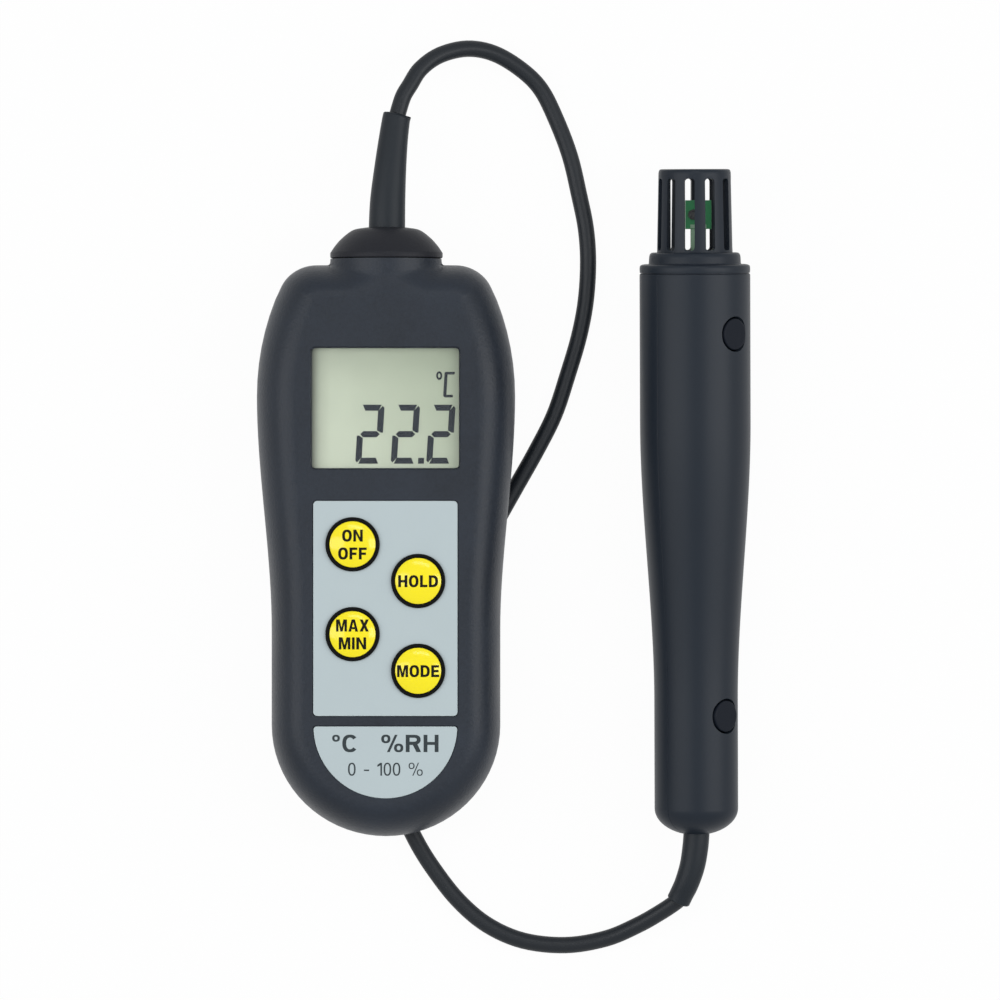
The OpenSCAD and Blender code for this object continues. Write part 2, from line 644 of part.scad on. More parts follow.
// Probe. Its axis runs along Y from the tail's end, and it lies on the surface on its
// taper and its tail, so it is tilted as far as its own profile asks.
probe_x = 69.05;
probe_y = -102.15;
probe_turn = 0.2;
function handle_r(v) = v < tail_round
  ? tail_r * sqrt(max(0, 1 - pow(1 - v / tail_round, 2)))
  : tail_r + (head_r - tail_r) * smooth((v - tail_len) / taper_len);
rest_slope = max([for (v = [tail_len + 4:1:handle_len + 2])
  (handle_r(v) - tail_r) / (v - tail_round)]);
probe_tilt = atan(rest_slope);
probe_z = tail_r * cos(probe_tilt) - tail_round * sin(probe_tilt) + 0.03;
module in_probe() {
  translate([probe_x, probe_y, probe_z]) rotate([0, 0, probe_turn]) rotate([probe_tilt, 0, 0])
    children();
}
// Turns a frame about the probe's axis so that its Z points along the screws
screw_turn = 46;
module to_screws() rotate([0, screw_turn, 0]) children();

boot_hole = tail_boot_d / 2 + fit;
hole_v = tail_round * (1 - sqrt(1 - pow(boot_hole / tail_r, 2)));
end_in = 2.2;
outer_side = concat(
  [[boot_hole, hole_v]],
  [for (v = [1, 1.8, 2.7, 3.7, 4.8]) [handle_r(v), v]],
  [[tail_r, tail_round], [tail_r, tail_len]],
  [for (i = [1:12]) let (v = tail_len + taper_len * i / 12) [handle_r(v), v]],
  [[head_r, handle_len - 0.25], [head_r - 0.25, handle_len]]
);
inner_side = concat(
  [[head_r - handle_wall, handle_len]],
  [for (i = [12:-1:0]) let (v = tail_len + taper_len * i / 12) [handle_r(v) - handle_wall, v]],
  [[tail_r - handle_wall, tail_round], [tail_r - handle_wall - 1.2, end_in + 1],
    [tail_r - handle_wall - 3, end_in], [boot_hole, end_in]]
);
// Start of the half turn, counted so that the parting plane is square to the screws
module handle_half(start) {
  rotate([-90, 0, 0]) rotate([0, 0, start]) rotate_extrude(angle = 180)
    polygon(concat(outer_side, inner_side));
}
screw_run = 13.3;
handle_screw_v = [tail_len - 3.2, handle_len - screw_run];
function floor_at(v) = handle_r(v) - 4.2;
handle_screw_d = 2.4;

module handle_upper() color([0.19, 0.2, 0.22]) in_probe() difference() {
  union() {
    handle_half(screw_turn - 180);
    to_screws() for (v = handle_screw_v) {
      post(0, v, 3, 0, floor_at(v));
      post(0, v, plug_d / 2 + 0.9, floor_at(v) - 1.4, handle_r(v) - handle_wall + 0.5);
    }
  }
  to_screws() for (v = handle_screw_v) {
    post(0, v, handle_screw_d / 2 + 0.2, -1, 20);
    post(0, v, plug_d / 2 + 0.1, floor_at(v), 20);
  }
}
module handle_lower() color([0.19, 0.2, 0.22]) in_probe() difference() {
  union() {
    handle_half(screw_turn);
    to_screws() for (v = handle_screw_v) post(0, v, 3, handle_wall - handle_r(v) - 0.5, 0);
  }
  to_screws() for (v = handle_screw_v) post(0, v, handle_screw_d / 2, -5.5, 1);
}
module handle_screws() color([0.6, 0.6, 0.62]) in_probe() to_screws()
  for (v = handle_screw_v) difference() {
    union() {
      post(0, v, handle_screw_d / 2 - 0.05, -5, floor_at(v) + 0.5);
      post(0, v, handle_screw_d * 1.1, floor_at(v), floor_at(v) + 1.6);
    }
    for (a = [0, 90]) translate([0, v, floor_at(v) + 1.7]) rotate([0, 0, a])
      cube([2.8, 0.6, 1.6], center = true);
  }
module screw_plugs() color([0.16, 0.17, 0.18]) in_probe() to_screws()
  for (v = handle_screw_v) post(0, v, plug_d / 2, floor_at(v) + 1.7, handle_r(v) - 0.75);

// Nose: a turned cap with a spigot in the handle and a collar round the guard
nose_v = handle_len + 0.3;
nose_rim = 1.8;
collar_v = nose_v + nose_rim;
collar_end = collar_v + collar_len;
spigot_r = head_r - handle_wall - 0.05;
floor_v = collar_v - 0.6;
spigot_len = 6.2;
cap_floor = 2;
lead_hole = 3.4;
module nose_cap() color([0.17, 0.18, 0.2]) in_probe() turned([
  [spigot_r, nose_v - spigot_len], [spigot_r, nose_v], [head_r - 0.15, nose_v],
  [head_r - 0.05, nose_v + 0.2], [head_r - 0.05, nose_v + 1.1], [head_r - 0.25, nose_v + 1.55],
  [head_r - 0.7, collar_v], [collar_r, collar_v], [collar_r, collar_end - 0.6],
  [collar_r - 0.2, collar_end - 0.2], [collar_r - 0.6, collar_end],
  [guard_r + fit, collar_end], [guard_r + fit, floor_v], [lead_hole, floor_v],
  [lead_hole, floor_v - cap_floor], [spigot_r - handle_wall, floor_v - cap_floor],
  [spigot_r - handle_wall, nose_v - spigot_len]
]);
module guard_seal() color([0.1, 0.1, 0.1]) in_probe()
  turned([[guard_r - 2.2, floor_v], [guard_r - 0.6, floor_v], [guard_r - 0.6, floor_v + 0.5],
    [guard_r - 2.2, floor_v + 0.5]]);

guard_in = guard_r - rib_depth - 0.2;
guard_low = floor_v + 0.6;
guard_end = collar_end + guard_len;
roof_t = 1.6;
slot_low = collar_end + 0.5;
slot_top = guard_end - roof_t - 0.2;
rib_phase = 6;
module sensor_guard() color([0.2, 0.21, 0.23]) in_probe() difference() {
  turned([
    [guard_in, guard_low], [guard_r, guard_low], [guard_r, collar_end],
    [guard_top_r + 0.03, guard_end - 1.2], [guard_top_r - 0.15, guard_end - 0.6],
    [guard_top_r - 0.5, guard_end - 0.2], [guard_top_r - 1, guard_end], [0, guard_end],
    [0, guard_end - roof_t], [guard_in, guard_end - roof_t]
  ]);
  for (i = [0:rib_count - 1]) rotate([0, rib_phase + (i + 0.5) * 360 / rib_count, 0]) {
    box(-slot_w / 2, slot_w / 2, slot_low + slot_w / 2, slot_top - slot_w / 2, 4, 12);
    for (y = [slot_low + slot_w / 2, slot_top - slot_w / 2]) post(0, y, slot_w / 2, 4, 12);
  }
}

sensor_x = 0.8;
sensor_t = 0.8;
sensor_rise = 5.2;
strip_w = 0.9;
strip_pitch = 2.5;
sensor_low = collar_end + sensor_rise;
carrier_v = nose_v - spigot_len;
module sensor_carrier() color([0.85, 0.85, 0.82]) in_probe()
  turned([[0, carrier_v], [spigot_r - handle_wall - 0.1, carrier_v],
    [spigot_r - handle_wall - 0.1, floor_v - cap_floor - 0.1],
    [lead_hole - 0.2, floor_v - cap_floor - 0.1], [lead_hole - 0.2, floor_v], [0, floor_v]]);
module sensor_leads() color([0.62, 0.78, 0.6]) in_probe()
  for (s = [-0.5, 0.5] * strip_pitch) box(sensor_x + s - strip_w / 2, sensor_x + s + strip_w / 2,
    floor_v, sensor_low, -0.25, 0.25);
module sensor_board() color([0.1, 0.55, 0.28]) in_probe()
  box(sensor_x - sensor_w / 2, sensor_x + sensor_w / 2, sensor_low, sensor_low + sensor_len,
    -sensor_t / 2, sensor_t / 2);
element_r = 1.15;
module humidity_sensor() color([0.2, 0.22, 0.22]) in_probe()
  post(sensor_x - 1.1, sensor_low + sensor_len / 2, element_r, sensor_t / 2, sensor_t / 2 + 0.6);

board_run = 45.5;
probe_board_v = carrier_v - 0.1 - board_run;
probe_board_x = 4.3;
probe_board_t = 1.5;
probe_board_hw = sqrt(pow(handle_r(probe_board_v) - handle_wall - 0.75, 2)
  - pow(probe_board_x + probe_board_t, 2));
module probe_board() color([0.1, 0.42, 0.24]) in_probe() to_screws()
  box(probe_board_x, probe_board_x + probe_board_t, probe_board_v, carrier_v - 0.1,
    -probe_board_hw, probe_board_hw - 1);
grip_v = 12;
grip_len = 5;
module cable_grip() color([0.5, 0.5, 0.52]) in_probe()
  turned([[0, grip_v], [tail_r - handle_wall - 0.1, grip_v],
    [tail_r - handle_wall - 0.1, grip_v + grip_len], [0, grip_v + grip_len]]);
module probe_lead() color([0.12, 0.12, 0.13]) in_probe() {
  rotate([-90, 0, 0]) translate([0, 0, end_in + 1.4]) cylinder(r = lead_r, h = grip_v - end_in - 1.4);
  to_screws() translate([probe_board_x + 0.7, grip_v + grip_len, 0]) rotate([-90, 0, 0])
    cylinder(r = 0.7, h = probe_board_v - grip_v - grip_len);
}

// The probe's boot leaves the handle's end and bends towards the cord
probe_end = cord_route[cord_end];
boot_flange = tail_r - handle_wall - 3.2;
module probe_boot() color([0.13, 0.13, 0.14]) {
  k = probe_y;
  sweep(
    [[probe_x, k + end_in + 1.2, probe_z], [probe_x, k + end_in + 0.2, probe_z],
      [probe_x, k + end_in + 0.15, probe_z], [probe_x, k + 0.2, probe_z],
      [probe_x - 0.25, k - 2.85, probe_z - 0.1], [probe_x - 0.9, k - 6.85, probe_z - 0.3],
      [probe_x - 2.1, k - 10.65, probe_z - 0.7], [probe_end[0] + 0.8, probe_end[1] + 0.7, probe_end[2] + 0.3],
      probe_end],
    [boot_flange, boot_flange, tail_boot_d / 2, tail_boot_d / 2, tail_boot_d / 2, tail_boot_d / 2 - 0.1,
      tail_boot_d / 2 - 0.2, tail_boot_tip_d / 2, tail_boot_tip_d / 2 - 0.25],
    16, [0, -1, 0], -cord_tb);
}

front_case();
rear_case();
battery_cover();
display_lens();
lcd_glass();
lcd_segments();
lcd_holder();
contact_strips();
main_board();
controller_chip();
board_parts();
probe_header();
keypad_panel();
key_rings();
key_on_off();
key_hold();
key_max_min();
key_mode();
snap_domes();
name_plate();
battery_cells();
battery_springs();
battery_contacts();
case_screws();
neck_collar();
instrument_boot();
cable_clamp();
instrument_lead();
cord();
handle_upper();
handle_lower();
handle_screws();
screw_plugs();
nose_cap();
guard_seal();
sensor_guard();
sensor_carrier();
sensor_leads();
sensor_board();
humidity_sensor();
probe_board();
probe_lead();
cable_grip();
probe_boot();
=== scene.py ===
"""Thermo-hygrometer with a wired humidity probe, dressed round its packed model.

Sizes that a user may change are metres. Profiles and outlines in the code are
millimetres, and the helpers that make meshes turn them into metres.
"""

import math

import bmesh
import bpy
from bpy.props import FloatProperty, FloatVectorProperty, IntProperty, PointerProperty
from mathutils import Matrix, Vector


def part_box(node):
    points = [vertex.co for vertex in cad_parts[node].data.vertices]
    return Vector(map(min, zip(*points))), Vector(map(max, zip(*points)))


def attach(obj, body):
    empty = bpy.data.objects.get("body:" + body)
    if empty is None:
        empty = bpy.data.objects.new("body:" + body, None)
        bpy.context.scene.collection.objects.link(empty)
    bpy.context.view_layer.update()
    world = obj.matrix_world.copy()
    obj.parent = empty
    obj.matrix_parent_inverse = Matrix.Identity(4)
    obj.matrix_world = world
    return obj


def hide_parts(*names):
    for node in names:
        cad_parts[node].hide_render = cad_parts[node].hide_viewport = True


bl_info = {
    "name": "Thermo-hygrometer",
    "version": (1, 0, 0),
    "blender": (4, 5, 0),
    "location": "View3D > Sidebar > Instrument",
    "description": "Builds the visible pieces of a hand-held instrument and its probe",
    "category": "Object",
}

MM = 0.001
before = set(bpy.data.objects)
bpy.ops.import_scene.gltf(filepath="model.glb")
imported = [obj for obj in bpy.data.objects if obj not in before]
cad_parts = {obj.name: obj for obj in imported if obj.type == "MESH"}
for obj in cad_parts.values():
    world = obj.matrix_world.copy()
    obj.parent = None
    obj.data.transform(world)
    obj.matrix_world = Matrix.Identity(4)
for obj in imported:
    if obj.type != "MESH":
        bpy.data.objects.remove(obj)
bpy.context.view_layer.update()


def cad(node):
    """Lowest and highest corner of a packed node, in millimetres."""
    low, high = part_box(node)
    return low / MM, high / MM


FRONT_LOW, FRONT_HIGH = cad("front_case")
COLLAR_LOW, COLLAR_HIGH = cad("neck_collar")
COVER_LOW, COVER_HIGH = cad("battery_cover")
LENS_LOW, LENS_HIGH = cad("display_lens")
GLASS_LOW, GLASS_HIGH = cad("lcd_glass")
PANEL_LOW, PANEL_HIGH = cad("keypad_panel")
PLATE_LOW, PLATE_HIGH = cad("name_plate")
CELL_LOW, CELL_HIGH = cad("battery_cells")

# Places in millimetres that several pieces share: where the shells part, the front face,
# the neck's mouth, the tail's end, the inside of the back, and a key hole's radius
SPLIT_Z = FRONT_LOW.z
CASE_T = FRONT_HIGH.z
NECK_Y = FRONT_HIGH.y - 0.35
TAIL_Y = FRONT_LOW.y
BACK_IN = COVER_LOW.z + 1.6
KEY_HOLE = 5.8

# Turns the Y axis of a turned piece upright
UPRIGHT = Matrix.Rotation(math.radians(90), 4, "X")


# Sizes


def length(name, mm, note):
    """A length property with its default in millimetres."""
    return FloatProperty(
        name=name, description=note, default=mm * MM, min=0.0, precision=5, unit="LENGTH"
    )


def angle_size(name, degrees, note):
    """An angle property with its default in degrees."""
    return FloatProperty(
        name=name, description=note, default=math.radians(degrees), subtype="ANGLE"
    )


def colour(name, rgb, note):
    """A colour property."""
    return FloatVectorProperty(
        name=name, description=note, default=rgb, min=0.0, max=1.0, subtype="COLOR"
    )


class CaseSizes(bpy.types.PropertyGroup):
    """Sizes of the instrument's case"""

    head_width: length("Head width", FRONT_HIGH.x - FRONT_LOW.x, "Widest part of the head")
    grip_width: length("Grip width", 50.8, "Width of the case across the grip")
    foot_length: length("Foot length", 36, "Flat foot on the back of the head")
    grip_lift: length("Grip lift", COVER_LOW.z, "Height of the grip's back above the table")
    edge_run: length("Edge run", 7.1, "Inward run of the rounded edge")
    edge_side: length("Extra side run", 1.1, "Extra run at the sides of the head")
    top_edge: length("Top edge", 24.55, "From the middle of the foot to the head's top edge")
    neck_fillet: length("Neck fillet", 0.65, "Fillet between the neck and the head's top edge")
    shoulder_radius: length("Shoulder radius", 8.65, "Sideways radius of the two shoulders")
    shoulder_rise: length("Shoulder rise", 8.1, "Lengthwise radius of the two shoulders")
    flank_radius: length("Flank radius", 58, "Radius of the sides of the head")
    wide_drop: length("Widest point", 29.05, "From the top edge down to the widest point")
    waist_run: length("Waist run", 52, "Length over which the head narrows")
    tail_run: length("Tail run", 24.7, "Length of the rounded tail")
    wall: length("Wall", 2, "Wall of the case")
    back_wall: length("Back wall", 1.6, "Wall of the back")
    parting: length("Parting groove", 0.16, "Depth of the groove between the two shells")
    rim: length("Pocket rim", 0.18, "Chamfer round the pockets of the front")


class DisplaySizes(bpy.types.PropertyGroup):
    """Sizes of the display"""

    window_width: length("Window width", 33, "Width of the display window")
    window_height: length("Window height", 27, "Height of the display window")
    recess: length("Recess", 1.2, "Depth of the recess that holds the lens")
    ledge: length("Ledge", 0.25, "Ledge under the lens")
    digit_height: length("Digit height", 13.05, "Height of a figure")
    digit_width: length("Digit width", 5.72, "Width of a figure before it leans")
    digit_pitch: length("Digit pitch", 7.85, "From one figure to the next")
    stroke: length("Stroke", 1.36, "Width of a figure's bars")
    gap: length("Bar gap", 0.27, "From the cell's end to the tip of an upright bar")
    lean: angle_size("Lean", 3.5, "How far the figures lean")


class KeypadSizes(bpy.types.PropertyGroup):
    """Sizes of the keypad"""

    key_diameter: length("Key diameter", 10.16, "Diameter of a key")
    ring_diameter: length("Ring diameter", 12.02, "Outer diameter of a key's black ring")
    ring_rim: length("Ring rim", 0.84, "Width of the ring's rim")
    ring_height: length("Ring height", 0.6, "Height of a ring above the panel")
    cap_height: length("Capital height", 2.68, "Height of the legends' capitals")
    line_pitch: length("Line pitch", 3.95, "From one line of a legend to the next")
    corner: length("Panel corner", 0.9, "Corner radius of the panel")
    plate_radius: length("Plate radius", 15.9, "Radius of the half-round plate")


class CordSizes(bpy.types.PropertyGroup):
    """Sizes of the cord and its boots"""

    diameter: length("Cord diameter", 3.7, "Diameter of the cord")
    boot_base: length("Boot base", 8.1, "Diameter of the boot at the collar")
    boot_tip: length("Boot tip", 6.2, "Diameter of the boot at its tip")
    tail_base: length("Tail boot base", 5.8, "Diameter of the probe's boot at the handle")
    tail_tip: length("Tail boot tip", 5.3, "Diameter of the probe's boot at its tip")


class ProbeSizes(bpy.types.PropertyGroup):
    """Sizes of the probe"""

    handle_length: length("Handle length", 124.9, "Length of the handle")
    head_radius: length("Head radius", 12.3, "Radius of the handle at its head")
    tail_radius: length("Tail radius", 9.3, "Radius of the handle at its tail")
    tail_length: length("Tail length", 30, "Straight tail of the handle")
    taper_length: length("Taper length", 62, "Length over which the handle widens")
    tail_round: length("Tail round", 6, "Length of the handle's rounded end")
    wall: length("Wall", 1.8, "Wall of the handle")
    plug_diameter: length("Plug diameter", 7, "Diameter of the screw plugs")
    collar_radius: length("Collar radius", 10.1, "Collar that holds the guard")
    guard_radius: length("Guard radius", 8.4, "Radius of the guard at its base")
    guard_top: length("Guard top radius", 8, "Radius of the guard at its top")
    guard_length: length("Guard length", 18.5, "Guard above the collar")
    slot_width: length("Slot width", 2.3, "Width of a slot of the guard")
    ribs: IntProperty(name="Ribs", description="Ribs round the guard", default=11, min=6)
    lead: angle_size("Far lead", 6.5, "Lead of the guard's far slots over a regular ring")


class Colours(bpy.types.PropertyGroup):
    """Colours of the finishes"""

    case: colour("Case", (0.014, 0.019, 0.028), "Moulded charcoal case")
    collar: colour("Collar", (0.017, 0.018, 0.0225), "Moulded collar on the neck")
    probe: colour("Probe", (0.009, 0.014, 0.022), "Moulded charcoal probe")
    # The plugs' colour is the probe's plastic darkened as painted shade of their recesses
    plug: colour("Plugs", (0.0055, 0.008, 0.0137), "Plugs over the handle's screws")
    boot: colour("Boots", (0.012, 0.016, 0.021), "Rubber of the boots")
    cord: colour("Cord", (0.010, 0.013, 0.017), "Jacket of the cord")
    panel: colour("Panel", (0.455, 0.528, 0.545), "Printed panel and plate")
    key: colour("Keys", (0.95, 0.80, 0.003), "Rubber of the keys")
    ring: colour("Rings", (0.003, 0.003, 0.003), "Rings of the keys")
    # The display's two colours are painted light and painted shade at opposite corners of the cell
    display_light: colour("Display, light", (0.60, 0.65, 0.52), "Lighter corner of the cell")
    display_dark: colour("Display, dark", (0.36, 0.41, 0.305), "Darker corner of the cell")
    figures: colour("Figures", (0.016, 0.021, 0.030), "Figures of the display")


# Mesh helpers


def deselect():
    """Nothing selected, object mode."""
    if bpy.context.object and bpy.context.object.mode != "OBJECT":
        bpy.ops.object.mode_set(mode="OBJECT")
    bpy.ops.object.select_all(action="DESELECT")


def choose(obj):
    """obj selected and active, and nothing else."""
    deselect()
    obj.select_set(True)
    bpy.context.view_layer.objects.active = obj


def outward(obj, merge=1e-7):
    """Doubles merged, empty faces removed and normals turned outwards."""
    work = bmesh.new()
    work.from_mesh(obj.data)
    bmesh.ops.remove_doubles(work, verts=work.verts, dist=merge)
    bmesh.ops.dissolve_degenerate(work, edges=work.edges, dist=merge)
    loose = [v for v in work.verts if not v.link_faces]
    bmesh.ops.delete(work, geom=loose, context="VERTS")
    bmesh.ops.recalc_face_normals(work, faces=work.faces)
    work.to_mesh(obj.data)
    work.free()


def apply(obj, kind, **values):
    """Adds a modifier with these values and applies it."""
    choose(obj)
    modifier = obj.modifiers.new(kind.title(), kind)
    for key, value in values.items():
        setattr(modifier, key, value)
    bpy.ops.object.modifier_apply(modifier=modifier.name)
    return obj


def carve(obj, tool, operation="DIFFERENCE"):
    """Cuts obj with the closed mesh tool, which is used up."""
    apply(obj, "BOOLEAN", operation=operation, object=tool, solver="EXACT")
    bpy.data.meshes.remove(tool.data)
    if not obj.data.polygons:
        raise RuntimeError(f"cutting {obj.name} left nothing of it")
    return obj


def chamfer(obj, width, segments=2, angle=40):
    """Rounds the sharp edges, width in millimetres."""
    limit = {"limit_method": "ANGLE", "angle_limit": math.radians(angle)}
    limit |= {"use_clamp_overlap": True, "harden_normals": False}
    return apply(obj, "BEVEL", width=width * MM, segments=segments, **limit)


def shade(obj, angle=32):
    """Smooth shading that keeps edges sharper than angle, with large faces leading."""
    obj.data.shade_smooth()
    obj.data.set_sharp_from_angle(angle=math.radians(angle))
    apply(obj, "WEIGHTED_NORMAL", keep_sharp=True, weight=60, mode="FACE_AREA")
    return obj


def loft(name, loops, first_cuts=(), last_cuts=()):
    """Closed solid: a filled circle laid on the first outline and extruded to each next one.

    Outlines are in millimetres. The cuts are pairs of points that split an end face.
    """
    deselect()
    bpy.ops.mesh.primitive_circle_add(vertices=len(loops[0]), radius=MM, fill_type="NGON")
    obj = bpy.context.object
    obj.name = obj.data.name = name
    number = obj.data.attributes.new("number", "INT", "POINT")
    number.data.foreach_set("value", range(len(loops[0])))
    bpy.ops.object.mode_set(mode="EDIT")
    bpy.ops.mesh.select_all(action="SELECT")
    for k, loop in enumerate(loops):
        if k:
            bpy.ops.mesh.extrude_region()
        work = bmesh.from_edit_mesh(obj.data)
        layer = work.verts.layers.int["number"]
        ends = {v[layer]: v for v in work.verts if v.select}
        for i, v in ends.items():
            v.co = Vector(loop[i]) * MM
        cuts = first_cuts if k == 0 else last_cuts if k == len(loops) - 1 else ()
        for a, b in cuts:
            bmesh.ops.connect_verts(work, verts=[ends[a], ends[b]])
        bmesh.update_edit_mesh(obj.data)
    bpy.ops.object.mode_set(mode="OBJECT")
    obj.data.attributes.remove(obj.data.attributes["number"])
    outward(obj)
    return obj


def at(loop, z):
    """A flat outline lifted to height z."""
    return [(x, y, z) for x, y in loop]


def turn_round(count):
    """Cosine and sine of evenly spaced turns of a circle."""
    return [(math.cos(math.tau * k / count), math.sin(math.tau * k / count)) for k in range(count)]


def block(name, low, high, round_by=0.0):
    """A cube primitive between two corners, with its edges rounded."""
    deselect()
    bpy.ops.mesh.primitive_cube_add(size=1)
    obj = bpy.context.object
    obj.name = obj.data.name = name
    low, high = Vector(low), Vector(high)
    for v in obj.data.vertices:
        v.co = Vector((low + high) / 2 + v.co * (high - low)) * MM
    if round_by:
        chamfer(obj, round_by, 2)
    return obj


def turned(name, profile, place=None, steps=96):
    """A closed profile of (radius, distance) spun about the Y axis, then placed."""
    deselect()
    bpy.ops.mesh.primitive_circle_add(vertices=len(profile), radius=MM)
    obj = bpy.context.object
    obj.name = obj.data.name = name
    for v, (radius, along) in zip(obj.data.vertices, profile):
        v.co = (radius * MM, along * MM, 0)
    bpy.ops.object.mode_set(mode="EDIT")
    bpy.ops.mesh.select_all(action="SELECT")
    bpy.ops.mesh.spin(steps=steps, angle=math.tau, center=(0, 0, 0), axis=(0, 1, 0))
    bpy.ops.object.mode_set(mode="OBJECT")
    outward(obj)
    if place is not None:
        obj.data.transform(place)
    return obj


def soften(profile, steps=4):
    """A profile whose third values are the radii of its rounded corners."""
    out = []
    n = len(profile)
    for i, corner in enumerate(profile):
        here = Vector(corner[:2])
        radius = corner[2] if len(corner) > 2 else 0
        if not radius:
            out.append(tuple(here))
            continue
        before = Vector(profile[i - 1][:2]) - here
        after = Vector(profile[(i + 1) % n][:2]) - here
        a = here + before.normalized() * min(radius, before.length * 0.49)
        b = here + after.normalized() * min(radius, after.length * 0.49)
        for k in range(steps + 1):
            t = k / steps
            out.append(tuple(a * (1 - t) ** 2 + here * 2 * t * (1 - t) + b * t**2))
    return out


def spline(points, per_span):
    """Points of a smooth curve through the given ones."""
    pts = [Vector(p) for p in points]
    ends = [2 * pts[0] - pts[1], *pts, 2 * pts[-1] - pts[-2]]
    out = []
    for i in range(1, len(ends) - 2):
        p0, p1, p2, p3 = ends[i - 1 : i + 3]
        for k in range(per_span):
            t = k / per_span
            line = 2 * p1 + (p2 - p0) * t
            curve = line + (2 * p0 - 5 * p1 + 4 * p2 - p3) * t**2
            out.append(0.5 * (curve + (3 * p1 - p0 - 3 * p2 + p3) * t**3))
    return [*out, pts[-1]]


def swept(name, path, radii, sides=40, first=None, last=None):
    """A closed round bar along a path, with a radius at each point."""
    path = [Vector(p) for p in path]
    n = len(path)
    tangents = [(path[min(i + 1, n - 1)] - path[max(i - 1, 0)]).normalized() for i in range(n)]
    if first:
        tangents[0] = Vector(first).normalized()
    if last:
        tangents[-1] = Vector(last).normalized()
    side = tangents[0].cross(Vector((0, 0, 1))).normalized()
    loops = []
    for p, t, radius in zip(path, tangents, radii):
        side = (side - t * side.dot(t)).normalized()
        up = t.cross(side)
        loops.append([p + radius * (side * c + up * s) for c, s in turn_round(sides)])
    return loft(name, loops)


def copies(obj, places):
    """One mesh that holds a copy of obj at each place. obj is used up."""
    work = bmesh.new()
    for place in places:
        start = len(work.verts)
        work.from_mesh(obj.data)
        work.verts.ensure_lookup_table()
        bmesh.ops.transform(work, matrix=place, verts=work.verts[start:])
    work.to_mesh(obj.data)
    work.free()
    return obj


def shift(x, y, z):
    """A move in millimetres."""
    return Matrix.Translation(Vector((x, y, z)) * MM)


def join(obj, *others):
    """Joins the others into obj, as separate closed shells of one piece."""
    work = bmesh.new()
    for part in (obj, *others):
        work.from_mesh(part.data)
    work.to_mesh(obj.data)
    work.free()
    for part in others:
        bpy.data.meshes.remove(part.data)
    return obj


def place_piece(obj, body, material, slot, *nodes):
    """Gives a finished piece its material and body, and hides the nodes it stands for. The slot is
    not used.
    """
    obj.data.materials.clear()
    obj.data.materials.append(bpy.data.materials[material])
    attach(obj, body)
    if nodes:
        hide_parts(*nodes)
    return obj


# Materials


def fill(tree, node, inputs):
    """Gives a node's inputs plain values or other nodes' outputs."""
    for key, value in inputs.items():
        if isinstance(value, bpy.types.NodeSocket):
            tree.links.new(value, node.inputs[key])
        else:
            node.inputs[key].default_value = value


def add(tree, kind, inputs=None, **settings):
    """A new node with its settings and inputs."""
    node = tree.nodes.new(kind)
    for key, value in settings.items():
        setattr(node, key, value)
    fill(tree, node, inputs or {})
    return node


def calc(tree, operation, *values):
    """The result of a Math node."""
    return add(tree, "ShaderNodeMath", dict(enumerate(values)), operation=operation).outputs[0]


def times(tree, under, over):
    """A colour multiplied by another one."""
    inputs = {"Factor": 1.0, 6: under, 7: over}
    return add(tree, "ShaderNodeMix", inputs, data_type="RGBA", blend_type="MULTIPLY").outputs[2]


def mixed(tree, share, first, second):
    """A mix of two shaders, with the second one's share."""
    inputs = {"Fac": share, 1: first.outputs[0], 2: second.outputs[0]}
    return add(tree, "ShaderNodeMixShader", inputs)


def steps_of(tree, share, stops, blend="LINEAR"):
    """The colour that a ramp gives to a share."""
    ramp = add(tree, "ShaderNodeValToRGB", {"Fac": share})
    places = ramp.color_ramp.elements
    ramp.color_ramp.interpolation = blend
    for k, (position, rgb) in enumerate(stops):
        while len(places) <= k:
            places.new(1.0)
        places[k].position = position
        places[k].color = (*rgb, 1)
    return ramp.outputs["Color"]


def grain_group():
    """Fine moulded grain: a height, a slow change of shade round one, and a gloss change."""
    tree = bpy.data.node_groups.new("Moulded grain", "ShaderNodeTree")
    for name, value in (("Fineness", 2500.0), ("Mottle", 0.05), ("Roughness", 0.5)):
        socket = tree.interface.new_socket(name, in_out="INPUT", socket_type="NodeSocketFloat")
        socket.default_value = value
    for name in ("Height", "Shade", "Roughness"):
        tree.interface.new_socket(name, in_out="OUTPUT", socket_type="NodeSocketFloat")
    given = tree.nodes.new("NodeGroupInput").outputs
    where = add(tree, "ShaderNodeTexCoord").outputs["Object"]

    def noise(scale, detail, roughness):
        inputs = {"Vector": where, "Scale": scale, "Detail": detail, "Roughness": roughness}
        return add(tree, "ShaderNodeTexNoise", inputs).outputs["Fac"]

    fine = noise(given["Fineness"], 2.0, 0.6)
    slow = noise(calc(tree, "MULTIPLY", given["Fineness"], 0.045), 4.0, 0.55)
    both = add(tree, "ShaderNodeMix", {"Factor": 0.4, "A": slow, "B": fine}).outputs["Result"]
    uneven = calc(tree, "MULTIPLY", calc(tree, "SUBTRACT", both, 0.5), given["Mottle"])
    results = {
        "Height": fine,
        "Shade": calc(tree, "MULTIPLY_ADD", uneven, 4.0, 1.0),
        "Roughness": calc(tree, "ADD", uneven, given["Roughness"]),
    }
    add(tree, "NodeGroupOutput", results)


def fresh(name):
    """A new material's tree and its Principled shader."""
    material = bpy.data.materials.new(name)
    material.use_nodes = True
    return material.node_tree, material.node_tree.nodes["Principled BSDF"]


